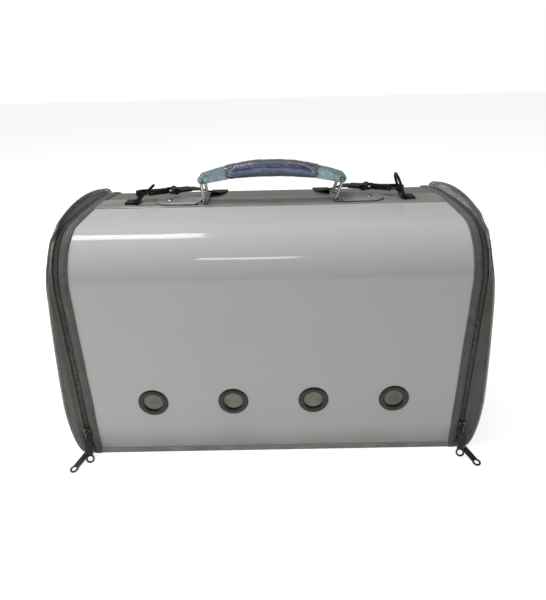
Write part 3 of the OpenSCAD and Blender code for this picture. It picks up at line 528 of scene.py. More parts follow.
mat_half_x, mat_half_y, mat_low, mat_high, mat_edge = 195.0, 110.5, 5.0, 12.2, 2.6
mat_columns, mat_rows, quilt_columns, quilt_rows, quilt_depth = 78, 44, 13, 11, 2.2
points, faces, held, uvs = [], [], [], []
for layer in (1, 0):
    for i in range(mat_columns + 1):
        for j in range(mat_rows + 1):
            u, v = 2 * i / mat_columns - 1, 2 * j / mat_rows - 1
            rim = min((1 - abs(u)) * mat_half_x, (1 - abs(v)) * mat_half_y) / 9
            arc = math.sqrt(max(0.0, 1 - (1 - min(1, rim)) ** 2))
            pull = 1 - 0.012 * (abs(u) * abs(v)) ** 6
            z = mat_low + mat_edge + ((mat_high - mat_low - mat_edge) * arc if layer else -mat_edge * arc)
            if layer and (i % quilt_columns == 0 or j % quilt_rows == 0) and rim > 1:
                held.append(len(points))
                z -= quilt_depth
            elif not layer or rim <= 0.01:
                held.append(len(points))
            points.append(mm(u * mat_half_x * pull, v * mat_half_y * pull, z))
            uvs.append((points[-1].x, points[-1].y))
span, plane = mat_rows + 1, (mat_columns + 1) * (mat_rows + 1)
for i in range(mat_columns):
    for a in range(i * span, i * span + mat_rows):
        b = a + plane
        faces += [(a, a + span, a + span + 1, a + 1), (b, b + 1, b + span + 1, b + span)]
mat = mesh_piece("quilted_mat", (points, faces, uvs), webbing_material("mat_cloth", (0.40, 0.38, 0.32), 0.0022),
                 "carrier", "floor_mat")
weld = bmesh.new()
weld.from_mesh(mat.data)
bmesh.ops.remove_doubles(weld, verts=weld.verts, dist=0.00001)
weld.to_mesh(mat.data)
weld.free()
settled = {tuple(round(c, 6) for c in points[i]) for i in held}
fixed = [v.index for v in mat.data.vertices if tuple(round(c, 6) for c in v.co) in settled]
inflate(mat, fixed, pressure=6.0, frames=18, stiffness=6.0, bending=0.4,
        limit=lambda moves: np.clip(moves, -0.0008, 0.0016))

# ---- Air-hole eyelets ----
# Two-part pressed eyelets, gunmetal plated, clenched through the sheet in a row low on each side.


def metal_material(name, colour, roughness, metallic=1.0):
    """Plated or bare metal: brushed marks vary its gloss, and its edges are a little softened."""
    material, tree, shader = new_material(name)
    marks = cloud(tree, 420.0, 5.0, Roughness=0.65)
    edge = node(tree, "ShaderNodeBevel", Radius=0.00035, samples=4)
    plug(shader, Base_Color=shades(tree, marks, colour, 0.8, 1.2), Metallic=metallic,
         Roughness=spread(tree, marks, 0.3, 0.7, roughness * 0.75, roughness * 1.5),
         Normal=relief(tree, marks, 0.08, 0.0002, Normal=edge))
    return material


finish_nodes(metal_material("eyelet_metal", (0.030, 0.029, 0.027), 0.30, 0.5), "eyelets_front", "eyelets_back")

# ---- Edge binding ----
# Olive-grey woven tape is folded over each end of the sheet and stitched with two rows of thread.
# One row runs near its inner edge and one next to the zip.
beads = bpy.data.node_groups.new("bead_rows", "GeometryNodeTree")
sockets = {}
for label, kind, way in (("Rows", "Geometry", "INPUT"), ("Pitch", "Float", "INPUT"), ("Size", "Vector", "INPUT"),
                         ("Finish", "Material", "INPUT"), ("Seed", "Int", "INPUT"), ("Unevenness", "Float", "INPUT"),
                         ("Beads", "Geometry", "OUTPUT")):
    sockets[label] = beads.interface.new_socket(label, in_out=way, socket_type=f"NodeSocket{kind}").identifier
given = beads.nodes.new("NodeGroupInput").outputs
curves = node(beads, "GeometryNodeMeshToCurve", Mesh=given["Rows"])
spaced = node(beads, "GeometryNodeResampleCurve", mode="LENGTH", Curve=curves, Length=given["Pitch"])
facing = node(beads, "GeometryNodeInputNamedAttribute", data_type="FLOAT_VECTOR", Name="facing")
turned = node(beads, "FunctionNodeAlignRotationToVector", axis="X", Vector=node(beads, "GeometryNodeInputTangent"))
upright = node(beads, "FunctionNodeAlignRotationToVector", axis="Z", pivot_axis="X", Rotation=turned, Vector=facing)
vary = node(beads, "FunctionNodeRandomValue", data_type="FLOAT", Seed=given["Seed"],
            i2=calc(beads, "SUBTRACT", 1.0, given["Unevenness"]), i3=calc(beads, "ADD", 1.0, given["Unevenness"]))
sized = node(beads, "ShaderNodeVectorMath", operation="SCALE", i0=given["Size"], Scale=vary.outputs[1])
bead = node(beads, "GeometryNodeMeshUVSphere", Segments=8, Rings=5, Radius=0.5)
placed = node(beads, "GeometryNodeInstanceOnPoints", Points=spaced, Instance=bead, Rotation=upright, Scale=sized)
soft = node(beads, "GeometryNodeSetShadeSmooth", i0=node(beads, "GeometryNodeRealizeInstances", Geometry=placed))
painted = node(beads, "GeometryNodeSetMaterial", Geometry=soft, Material=given["Finish"])
node(beads, "NodeGroupOutput", i0=painted)


def bead_rows(name, rows, material, body, pitch, size, seed, unevenness):
    """Beads (stitches or coil turns) along rows of points, given as (points, facings, closed), as a mesh piece."""
    points, edges, facings = [], [], []
    for line, ways, closed in rows:
        start = len(points)
        points += [tuple(p) for p in line]
        facings += [c for way in ways for c in way]
        edges += [(start + i, start + i + 1) for i in range(len(line) - 1)]
        if closed:
            edges.append((len(points) - 1, start))
    data = bpy.data.meshes.new(name)
    data.from_pydata(points, edges, [])
    data.attributes.new("facing", "FLOAT_VECTOR", "POINT").data.foreach_set("vector", facings)
    made = bpy.data.objects.new(name, data)
    scene.collection.objects.link(made)
    maker = made.modifiers.new("rows", "NODES")
    maker.node_group = beads
    for label, value in (("Pitch", pitch * MM), ("Size", tuple(s * MM for s in size)), ("Finish", material),
                         ("Seed", seed), ("Unevenness", unevenness)):
        maker[sockets[label]] = value
    result = evaluated_mesh(made)
    made.modifiers.remove(maker)
    made.data = result
    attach(made, body)


def stitches(name, rows, material, body, seed, pitch=3.6, length=2.5, width=0.55):
    """Rows of thread stitches."""
    bead_rows(name, rows, material, body, pitch, (length, width, width * 0.8), seed, 0.08)


def thread_material(name, colour):
    """Sewing thread: a dull twisted yarn."""
    material, tree, shader = new_material(name)
    plug(shader, Base_Color=shades(tree, cloud(tree, 1800.0, 2.0), colour, 0.6, 1.4), Roughness=0.75)
    return material


def arch_sweep(stations, section, side):
    """A closed section carried along the arch. section(run, z) gives its (x, growth) points in millimetres."""
    rings, uvs = [], []
    for run, y, z, ny, nz in with_run(stations):
        ring = section(run, z)
        rings.append([mm(side * x, y + ny * g, max(z + nz * g, 0.02)) for x, g in ring])
        uvs += [(along * MM, run * MM) for along, x, g in with_run(ring)]
    return (*tube(rings), uvs)


def arch_row(stations, side, where):
    """A row of points over the arch for stitches, with outward facings. where(run, z) gives x and growth."""
    line, ways = [], []
    for run, y, z, ny, nz in with_run(stations):
        x, g = where(run, z)
        line.append(mm(side * x, y + ny * g, z + nz * g))
        ways.append(Vector((0, ny, nz)))
    return line, ways, False


SIDES = ((-1, "left"), (1, "right"))
binding_cloth = webbing_material("binding_cloth", (0.137, 0.135, 0.127), 0.0011, 0.4)
binding_thread = thread_material("binding_thread", (0.10, 0.098, 0.09))
inner_row, outer_row, row_growth, row_dip = 194.0, 198.3, 1.62, 0.22
for side, name in SIDES:
    def binding_section(run, z):
        """The folded tape's section, with a dip under each row of thread."""
        lift = 0.22 * wander(run / 13, side * 3.1, 0.5)
        edge = 0.35 * wander(run / 21, side * 5.3, 7.5)
        return [(192.0 + edge, 0.1), (192.0 + edge, 1.0), (192.5 + edge, 1.5 + lift), (193.3, 1.65 + lift),
                (inner_row, 1.65 + lift - row_dip), (194.7, 1.7 + lift), (196.2, 1.78 + lift), (197.6, 1.72 + lift),
                (outer_row, 1.65 + lift - row_dip), (199.0, 1.66), (199.7, 1.3), (200.0, 0.6), (200.0, -2.2),
                (199.5, -2.9), (194.0, -3.0), (192.4, -2.8), (192.0, -1.3), (198.95, -1.3), (198.95, 0.06)]

    mesh_piece(f"edge_binding_{name}", arch_sweep(arch_line(0.0, 5.0, 34, 22), binding_section, side), binding_cloth,
               "carrier", f"binding_{name}")
    sewn = arch_line(6.0, 5.0, 34, 22)
    rows = [arch_row(sewn, side, lambda run, z: (inner_row, row_growth)),
            arch_row(sewn, side, lambda run, z: (outer_row, row_growth))]
    stitches(f"binding_stitches_{name}", rows, binding_thread, "carrier", seed=11)

# ---- Zips ----
# A black nylon coil zip runs round each end: one half is sewn to the binding and the other to the door.
# The turns of the two coils mesh in the gap between the tapes.
zip_tape = webbing_material("zip_tape", (0.022, 0.022, 0.022), 0.0009)
zip_coil = moulded_material("zip_coil", (0.12, 0.12, 0.115), 0.30)
coil_pitch, zip_foot = 1.7, 1.1
for side, name in SIDES:
    for body, piece, tape_in, tape_out, coil_x, shift in (
            ("carrier", f"body_zip_{name}", 200.0, 201.6, 202.45, 0.0),
            (f"door_{name}", f"door_zip_{name}", 204.8, 206.4, 203.95, 0.5)):
        tape_section = [(tape_in, 0.3), (tape_in, -0.3), (tape_out, -0.42), (tape_out, 0.42)]
        mesh_piece(f"{piece}_tape",
                   arch_sweep(arch_line(zip_foot, 4.0, 40, 24), lambda run, z: tape_section, side),
                   zip_tape, body, piece)
        coil = arch_row(arch_line(zip_foot + coil_pitch / 2 + shift * coil_pitch, 4.0, 40, 24), side,
                        lambda run, z: (coil_x, 0.0))
        bead_rows(f"{piece}_coil", [coil], zip_coil, body, coil_pitch,
                  size=(1.05, 3.0, 1.8), seed=3, unevenness=0.015)

# ---- End doors: boxing ----
# Each door is a soft half-box. A band of dark olive-grey fabric runs round it from the zip to its rim and
# along the floor. It is quilted a little by its seams and rises in a crest above the crown.
door_start, foot_gap, floor_strip, boxing_in, boxing_steps, crest, crest_depth = 206.4, 0.9, 2.8, 1.4, 18, 6.5, 16.0
full_height, full_reach, foot_reach, top_reach, top_height = 60.0, 30.0, 17.0, 17.8, 225.0
zip_seam, rim_seam, floor_parts = 209.0, 3.4, 60


def held_in(value, low=0.0, high=1.0):
    """A value kept between two limits."""
    return max(low, min(high, value))


def hill(value, middle, width):
    """A smooth hill of height 1."""
    return math.exp(-((value - middle) / width) ** 2)


def door_rim(z, side):
    """Distance of a door's rim from the middle at height z, in millimetres. The soft corners sag in a little."""
    if z < full_height:
        out = foot_reach + (full_reach - foot_reach) * math.sqrt(max(0.0, 1 - (1 - max(0.0, z) / full_height) ** 2))
    elif z < top_height:
        out = full_reach - (full_reach - top_reach) * ((z - full_height) / (top_height - full_height)) ** 1.3
    else:
        out = top_reach
    return half_sheet + out - (3.0 * hill(z, 246, 5) + (2.3 * hill(z, 222, 28) if side > 0 else 0.0))


def crest_at(z):
    """How much the rim stands up at a place that is at height z on the plain arch."""
    return crest * held_in(1 - (height - z) / crest_depth) + 2.5 * max(0.0, (z - 249) / 3)


boxing_cloth = webbing_material("boxing_cloth", (0.165, 0.163, 0.148), 0.0012, 1.0)
tree = boxing_cloth.node_tree
shader = tree.nodes["Principled BSDF"]
# Painted light and shade in the band's colour. It is multiplied by 0.52 to 1.15 across its first UV value from 0.205 to
# 0.221, painted shade towards the zip side. It is lifted towards 1.45 between 185 and 235 mm up, painted light on the
# crest.
out_from_zip = node(tree, "ShaderNodeSeparateXYZ", Vector=node(tree, "ShaderNodeUVMap", uv_map="weave"))
up = node(tree, "ShaderNodeSeparateXYZ", Vector=node(tree, "ShaderNodeTexCoord").outputs["Object"])
painted_shade = node(tree, "ShaderNodeMix", data_type="FLOAT", i3=1.45,
             i0=spread(tree, up.outputs["Z"], 0.185, 0.235, interpolation_type="SMOOTHSTEP"),
             i2=spread(tree, out_from_zip.outputs["X"], 0.205, 0.221, 0.52, 1.15, interpolation_type="SMOOTHSTEP"))
painted_shade_tone = node(tree, "ShaderNodeMix", data_type="RGBA", blend_type="MULTIPLY", i0=1.0,
             i6=shader.inputs["Base Color"].links[0].from_socket, i7=painted_shade)
plug(shader, Base_Color=painted_shade_tone.outputs[2])
boxing_thread = thread_material("boxing_thread", (0.13, 0.128, 0.115))
for side, name in SIDES:
    door = f"door_{name}"

    def boxing_cover(x, z, run):
        """Height of the fabric above the sheet's surface."""
        end = door_rim(z, side)
        puff = 0.75 * math.sin(math.pi * held_in((x - door_start) / (end - door_start))) ** 0.7
        fold = 0.55 * wander(x / 9 + 11 * side, run / 17, 2.0) + 0.35 * wander(x / 22, run / 6.5, 9.0 * side)
        hem = held_in((x - 208.0) / 4) * held_in((end - x) / 3)
        seam = 0.35 * (hill(x, zip_seam, 0.45) + hill(x, end - rim_seam, 0.45))
        return 1.25 + crest_at(z) * min(1.0, (x - door_start) / 3) + (puff + fold) * hem - seam

    def boxing_section(run, z):
        """The band's section: over its outside and back along its inside."""
        end = door_rim(z, side)
        ring = [(door_start, 0.0), (door_start + 0.05, 0.9)]
        for i in range(boxing_steps + 1):
            x = door_start + 0.4 + (end - door_start - 0.5) * (i / boxing_steps)
            ring.append((x, boxing_cover(x, z, run)))
        for i in range(7):
            x = door_start + (end - door_start) * (1 - i / 6)
            ring.append((x, -boxing_in + crest_at(z) * min(1.0, (x - door_start) / 3)))
        return ring

    points, faces, uvs = arch_sweep(arch_line(foot_gap, 4.0, 40, 30), boxing_section, side)
    rings = []
    for i in range(floor_parts + 1):
        y = side_y(floor_strip, -boxing_in) * (2 * i / floor_parts - 1)
        low = 0.06 * wander(y / 15, side, 4)
        rings.append([mm(side * x, y, z) for x, z in (
            (door_start, foot_gap), (door_rim(0.9, side) - 0.3, foot_gap), (door_rim(2.0, side), 1.9),
            (door_rim(floor_strip, side) - 0.4, floor_strip + low), (212, floor_strip + 0.15 + low),
            (door_start, floor_strip))])
        uvs += [(x * MM, y * MM) for x in (206, 209, 210, 213, 216, 222)]
    mesh_piece(f"door_boxing_{name}", joined([(points, faces), tube(rings)], uvs), boxing_cloth, door,
               f"door_band_{name}")

    def seam_row(x_at):
        """A row of stitches on the fabric, at a distance that x_at(z) gives."""
        return arch_row(arch_line(6.0, 4.0, 40, 30), side,
                        lambda run, z: (x_at(z), boxing_cover(x_at(z), z, run) + 0.12))

    rows = [seam_row(lambda z: zip_seam), seam_row(lambda z: door_rim(z, side) - rim_seam)]
    stitches(f"boxing_stitches_{name}", rows, boxing_thread, door,
             seed=21, pitch=3.8, length=2.6, width=0.6)

# ---- End doors: panel, window and piping ----
# The end of each door is foam-backed coated leather with a silvery iridescent finish, pulled in at its
# seams. A black knitted mesh fills the window, a tape covers the cut edge, and piping closes the rim.


def leather_relief(tree, creases, weight, pore_scale, strength):
    """The grain of coated leather: pores with creases over them."""
    pores = node(tree, "ShaderNodeTexVoronoi", Vector=node(tree, "ShaderNodeTexCoord").outputs["Object"],
                 Scale=pore_scale, feature="DISTANCE_TO_EDGE")
    return relief(tree, calc(tree, "MULTIPLY_ADD", creases, weight, pores), strength, 0.0005)


def iridescent_material(name, tint, scale=34.0, grain=0.28, panels_and_highlights=None):
    """Coated leather with a foil finish: soft patches of lilac, blue, teal and silver over a fine grain.
    Panels are broad tones at places round a piece, given as (second UV value, colour); light bands among them are
    painted highlights."""
    material, tree, shader = new_material(name)
    place = node(tree, "ShaderNodeTexCoord").outputs["Object"]
    moved = node(tree, "ShaderNodeVectorMath", operation="MULTIPLY_ADD", i1=(0.03, 0.03, 0.03), i2=place,
                 i0=cloud(tree, scale * 0.5, 1.0).outputs["Color"])
    patch = node(tree, "ShaderNodeTexNoise", Vector=moved, Scale=scale, Detail=1.5, Roughness=0.45)
    colour = ramp(tree, patch, [(position, [c * t for c, t in zip(tone, tint)]) for position, tone in (
        (0.30, (0.15, 0.17, 0.22)), (0.40, (0.155, 0.17, 0.27)), (0.46, (0.20, 0.20, 0.29)),
        (0.51, (0.22, 0.27, 0.32)), (0.56, (0.20, 0.20, 0.22)), (0.61, (0.16, 0.20, 0.30)),
        (0.67, (0.27, 0.25, 0.33)), (0.75, (0.31, 0.38, 0.40)))]).outputs[0]
    creases = cloud(tree, 170.0, 5.0, Roughness=0.7)
    if panels_and_highlights:
        low, high = -3.0, 1.0
        seen = node(tree, "ShaderNodeSeparateXYZ", Vector=node(tree, "ShaderNodeUVMap", uv_map="weave"))
        tones = ramp(tree, spread(tree, seen.outputs["Y"], low, high),
                     [((turned - low) / (high - low), tone) for turned, tone in panels_and_highlights])
        colour = node(tree, "ShaderNodeMix", data_type="RGBA", i0=0.62, i6=colour, i7=tones).outputs[2]
    plug(shader, Base_Color=colour, Normal=leather_relief(tree, creases, 2.2, 1300.0, grain),
         Roughness=spread(tree, creases, 0.3, 0.7, 0.16, 0.34), Metallic=0.35, Coat_Weight=0.5, Coat_Roughness=0.12)
    return material


def arc(x, y, radius, start, sweep, parts):
    """Points on an arc, its angles in degrees."""
    turns = [math.radians(start + sweep * i / parts) for i in range(parts + 1)]
    return [(x + radius * math.cos(a), y + radius * math.sin(a)) for a in turns]


iridescent_leather = iridescent_material("iridescent_leather", (1.5, 1.45, 1.5))
piping_leather = iridescent_material("piping_leather", (0.95, 0.90, 0.55), 60.0)
net_yarn = thread_material("net_yarn", (0.018, 0.018, 0.02))
tape_cloth = webbing_material("window_tape", (0.07, 0.07, 0.064), 0.0010)
window_in, window_corner, window_low, panel_y, panel_z = 30.0, 18.0, 40.0, 0.0, 132.0
corner_y = side_y(window_low + window_corner, -window_in) - window_corner
corners = [[(*place, *way) for place, way in zip(arc(y, window_low + window_corner, window_corner, start, -90, 10),
                                                 arc(0, 0, 1, start, -90, 10))]
           for y, start in ((-corner_y, 270), (corner_y, 0))]
window_line = [(corner_y * (1 - i / 18), window_low, 0.0, -1.0) for i in range(36)] + corners[0]
window_line += [(y - ny * window_in, z - nz * window_in, ny, nz) for y, z, ny, nz in arch_line(62.0, 6.0, 20, 18)]
window_line += corners[1]
window_plain = [(y, z) for y, z, ny, nz in window_line]
window_edges = list(zip(window_plain, window_plain[1:] + window_plain[:1]))
rim_line = []
for y, z, ny, nz in arch_line(floor_strip, 6.0, 40, 30):
    grown = -boxing_in + crest_at(z)
    rim_line.append((y + ny * grown, z + nz * grown))


def ray_out(line, angle, middle):
    """Distance from a middle to a closed outline, along an angle."""
    dy, dz = math.cos(angle), math.sin(angle)
    best = 0.0
    for (y0, z0), (y1, z1) in zip(line, line[1:] + line[:1]):
        ey, ez = y1 - y0, z1 - z0
        cut = dy * ez - dz * ey
        if abs(cut) < 1e-9:
            continue
        py, pz = y0 - middle[0], z0 - middle[1]
        along, share = (py * ez - pz * ey) / cut, (py * dz - pz * dy) / cut
        if along > 0 and -1e-6 <= share <= 1 + 1e-6:
            best = max(best, along)
    return best


angles = [2 * math.pi * i / 200 for i in range(200)]
for y, z in (rim_line[0], rim_line[-1]):
    corner_angle = math.atan2(z - panel_z, y - panel_y) % (2 * math.pi)
    nearest = min(range(len(angles)), key=lambda i: abs(angles[i] - corner_angle))
    angles[nearest] = corner_angle
reaches = [(a, ray_out(rim_line, a, (panel_y, panel_z)), ray_out(window_plain, a, (panel_y, panel_z)))
           for a in angles]
panel_steps, panel_thickness, net_pitch, tape_seam = 12, 1.6, 2.6, 2.9
tape_section = [(-4, 0.1), (-4.05, 0.75), (-3.6, 1.15), (-tape_seam, 1.05), (-2.2, 1.25), (0, 1.3), (2.2, 1.25),
                (tape_seam, 1.05), (3.6, 1.15), (4.05, 0.75), (4, 0.1)]
for side, name in SIDES:
    door = f"door_{name}"
    points, faces = [], []
    for layer in (1, 0):
        for a, outer, inner in reaches:
            for k in range(panel_steps + 1):
                t = k / panel_steps
                r = outer + (inner - outer) * t
                y, z = panel_y + r * math.cos(a), panel_z + r * math.sin(a)
                swell = math.sin(math.pi * min(1.0, t / 0.86)) ** 0.75
                crease = wander(y / 8, z / 8, 3.0 * side) + 0.5 * wander(y / 20, z / 5, 1.0)
                x = door_rim(z, side) + (swell * (3.0 + 0.7 * crease) if layer else -panel_thickness)
                points.append(mm(side * x, y, z))
    span = panel_steps + 1
    plane = len(angles) * span
    for i in range(len(angles)):
        a, b = i * span, (i + 1) % len(angles) * span
        for k in range(panel_steps):
            faces += [(a + k, b + k, b + k + 1, a + k + 1),
                      (plane + a + k, plane + a + k + 1, plane + b + k + 1, plane + b + k)]
        for k in (0, panel_steps):
            faces.append((a + k, plane + a + k, plane + b + k, b + k))
    end_panel = mesh_piece(f"end_panel_{name}", (points, faces), iridescent_leather, door,
                           f"door_panel_{name}")

    def on_panel(y, z, up):
        """A point at a height over the end panel's plain face."""
        return mm(side * (door_rim(z, side) + up), y, z)

    rings = [[on_panel(y + ny * out, z + nz * out, up) for out, up in tape_section] for y, z, ny, nz in window_line]
    uvs = [(out * MM, run * MM) for run, *_ in with_run(window_line) for out, up in tape_section]
    mesh_piece(f"window_tape_{name}", (*tube(rings, closed=True), uvs), tape_cloth, door,
               f"door_tape_{name}")
    rows = []
    for out in (-tape_seam, tape_seam):
        line = [on_panel(y + ny * out, z + nz * out, 1.15) for y, z, ny, nz in window_line]
        rows.append((line, [Vector((side, 0, 0.1))] * len(line), True))
    stitches(f"window_stitches_{name}", rows, boxing_thread, door, seed=31)

    yarns = []
    for upright, low, high, part, over in ((True, -92, 92, 6, 0.12), (False, 42, 222, 9, -0.12)):
        for n in range(int((high - low) / net_pitch) + 1):
            fixed = low + n * net_pitch
            cuts = []
            for (y0, z0), (y1, z1) in window_edges:
                a, b, v0, v1 = (y0, y1, z0, z1) if upright else (z0, z1, y0, y1)
                if (a - fixed) * (b - fixed) < 0:
                    cuts.append(v0 + (v1 - v0) * ((fixed - a) / (b - a)))
            if len(cuts) < 2:
                continue
            first, last = min(cuts), max(cuts)
            parts = max(2, int((last - first) / part))
            line = []
            for v in [first + (last - first) * k / parts for k in range(parts + 1)]:
                y, z = (fixed, v) if upright else (v, fixed)
                line.append(mm(side * (door_rim(z, side) - 0.8 + over), y, z))
            rings = []
            for k, p in enumerate(line):
                step = step_at(line, k).normalized()
                other = step.cross(Vector((side, 0, 0))).normalized()
                up = other.cross(step)
                rings.append([p + (other * math.cos(a) * 0.42 + up * math.sin(a) * 0.3) * MM
                              for a in (0, 1.2566, 2.5133, 3.7699, 5.0265)])
            yarns.append(tube(rings))
    net = mesh_piece(f"window_net_{name}", joined(yarns), net_yarn, door, f"door_mesh_{name}")

    rings = []
    for k, (y, z, ny, nz) in enumerate(arch_line(2.4, 5.0, 40, 30)):
        thick = 1.45 + 0.12 * wander(k * 1.3, side, 0)
        circle = arc(door_rim(z, side) + 0.15, 0.15 + crest_at(z), thick, 0, 360, 12)[:-1]
        rings.append([mm(side * x, y + ny * g, z + nz * g) for x, g in circle])
    mesh_piece(f"rim_piping_{name}", tube(rings), piping_leather, door, f"door_edging_{name}")

# ---- Strip along the crown ----
# Silver coated leather covers the joint of the two sheet halves. Its edges are turned under and sewn down
# with a row of thread on each side.


def leather_material(name, dark, light, roughness=0.36):
    """Coated leather with a metallic finish: pebbled grain, soft creases and uneven gloss."""
    material, tree, shader = new_material(name)
    creases = cloud(tree, 150.0, 3.0, Roughness=0.55)
    plug(shader, Base_Color=ramp(tree, cloud(tree, 26.0, 4.0, Roughness=0.6), [(0.32, dark), (0.68, light)]),
         Normal=leather_relief(tree, creases, 1.0, 1100.0, 0.22), Metallic=0.35,
         Roughness=spread(tree, creases, 0.3, 0.7, roughness - 0.06, roughness + 0.08))
    return material


def row(line, up=1):
    """A straight row for stitches on a level face."""
    return line, [Vector((0, 0, up))] * len(line), False


def crown_z(y, g):
    """Height of the crown at y, grown by g."""
    return height - crown + math.sqrt((crown + g) ** 2 - y * y)


silver_leather = leather_material("silver_leather", (0.42, 0.42, 0.39), (0.58, 0.58, 0.55))
silver_thread = thread_material("silver_thread", (0.55, 0.55, 0.53))
strip_top, strip_parts, strip_seam = height + 1.2, 128, 17.5
strip_section = [(-20.0, 0.05), (-20.15, 0.6), (-19.8, 1.15), (-19.2, 1.32), (-18.2, 1.3), (-17.4, 1.0), (-16.6, 1.24)]
strip_section += [(y, 1.2) for y in np.linspace(-15, 15, 13)]
strip_section += [(-y, g) for y, g in reversed(strip_section[:7])] + [(12, 0.02), (0, 0.02), (-12, 0.02)]
rings = []
for i in range(strip_parts + 1):
    x = -half_sheet + 2 * half_sheet * i / strip_parts
    ring = []
    for y, g in strip_section:
        dent = min(0.0, 0.5 * wander(x / 14, y / 9, 3) + 0.25 * wander(x / 4, y / 12, 8))
        edge = 0.3 * wander(x / 18, y, 1) if abs(y) > 19 else 0.0
        ring.append(mm(x, y + edge, crown_z(y, g + (dent if g > 0.9 else 0.0))))
    rings.append(ring)
mesh_piece("crown_strip", tube(rings), silver_leather, "carrier", "top_strip")
rows = [row([mm(x, y, crown_z(y, 1.12)) for x in np.linspace(-190, 190, 96)]) for y in (-strip_seam, strip_seam)]
stitches("crown_stitches", rows, silver_thread, "carrier", seed=41, pitch=3.8, length=2.7, width=0.6)

# ---- Handle anchors and rings ----
# Two tongues of the same leather, padded and sewn round their edge, are riveted through the strip. Each
# folds round the lower bar of a nickel-plated wire ring.
ring_spacing, tongue_length, tongue_half, neck_half, neck_length = 144.0, 56.0, 17.0, 13.0, 8.0
round_start, tongue_seam, bar_lift, loop_radius = tongue_length - tongue_half, tongue_half - 2.3, 3.4, 2.62
tongue_leather = leather_material("tongue_leather", (0.36, 0.37, 0.35), (0.55, 0.57, 0.56), 0.3)
tongue_runs = [3.6, 5, 6.5, 7.2, 8, 8.8, 9.5, 10.5, 12, 14, 17, 20, 23, 26, 29, 32, 34, 36, 38, 40, 42, 44, 46, 48,
               50, 51.5, 53, 54, 54.8, 55.4, 55.8, 55.98]
seam_runs = [10, 12, 15, 18, 22, 26, 30, 34, 37]


def tongue_width_at(run):
    """Half width of a tongue at a distance from its bar."""
    if run > round_start:
        return math.sqrt(max(0.0, tongue_half ** 2 - (run - tongue_length + tongue_half) ** 2))
    step = held_in((run - neck_length + 1.5) / 3)
    return neck_half + (tongue_half - neck_half) * step * step * (3 - 2 * step)


for side, name in SIDES:
    def on_strip(run, y, z):
        """A point at a distance from the ring's bar and at a height over the strip."""
        return mm(side * (ring_spacing / 2 + run), y, strip_top + z)

    rings = []
    for run in tongue_runs:
        half = tongue_width_at(run)
        ring = []
        for v in [2 * k / 32 - 1 for k in range(33)]:
            y = half * math.copysign(1 - (1 - abs(v)) ** 1.35, v)
            inside = half - abs(y)
            if run > round_start:
                inside = tongue_half - math.hypot(run - tongue_length + tongue_half, y)
            z = float(np.interp(inside, [0, 0.4, 1.1, 2.3, 3.3, 6, 10], [1.0, 2.0, 2.5, 2.2, 2.75, 2.95, 3.05]))
            z -= 0.5 * math.exp(-(math.hypot(run - tongue_length + 16, y) / 5.2) ** 4)
            z += 0.12 * wander(run / 6, y / 6, 5 * side) * min(1.0, inside)
            ring.append(on_strip(run, y, min(z, 2.35 + max(0.0, run - 3.6) * 0.12)))
        rings.append(ring + [on_strip(run, half * (1 - k / 6), 0) for k in range(1, 12)])
    loop = [(9.5, 1.6), (7.0, 2.1), (5.2, 3.1), (3.9, 4.3), *arc(0, bar_lift, loop_radius, 48, 222, 20),
            (2.2, 0.76), (4.5, 0.76), (7.5, 0.76)]
    fold = webbing([on_strip(x, 0, z) for x, z in loop], Vector((0, 1, 0)), 2 * neck_half * MM, 1.46 * MM)
    mesh_piece(f"handle_anchor_{name}", joined([tube(rings), fold]), tongue_leather, "carrier",
               f"anchor_{name}")
    seam = [(run, -tongue_seam) for run in seam_runs] + arc(round_start, 0, tongue_seam, -90, 180, 24)[1:-1]
    seam += [(run, tongue_seam) for run in reversed(seam_runs)]
    rows = [row([on_strip(x, y, min(2.3, 2.35 + (x - 3.6) * 0.12)) for x, y in seam]),
            row([on_strip(9.2, y, 2.5) for y in np.linspace(-12.5, 12.5, 8)])]
    stitches(f"anchor_stitches_{name}", rows, silver_thread, "carrier",
             seed=43, pitch=3.4, length=2.4, width=0.6)
finish_nodes(metal_material("nickel", (0.50, 0.49, 0.46), 0.20), "anchor_rivets", "ring_left", "ring_right")

# ---- Carrying handle ----
# An arched strap of iridescent coated leather loops round the upper bars of both rings. Its middle is
# stuffed, pulled in at a sewn ridge on each side and gathered where the stuffing ends.
handle_x, handle_z, handle_tilt = 3.065, 278.395, math.radians(-0.49)
handle_rise, handle_radius, handle_half_width = 10.5, 284.9, 12.5
handle_angle = math.radians(15.6)
grip_angle = handle_angle * 0.66
grip_rings, grip_sides, grip_limit = 110, 64, 0.0012


def handle_point(angle, y, radius):
    """A point of the handle's arc in the shared frame."""
    x, z = radius * math.sin(angle), radius * math.cos(angle) + handle_rise - handle_radius
    return mm(handle_x + x * math.cos(handle_tilt) - z * math.sin(handle_tilt), y,
              handle_z + x * math.sin(handle_tilt) + z * math.cos(handle_tilt))
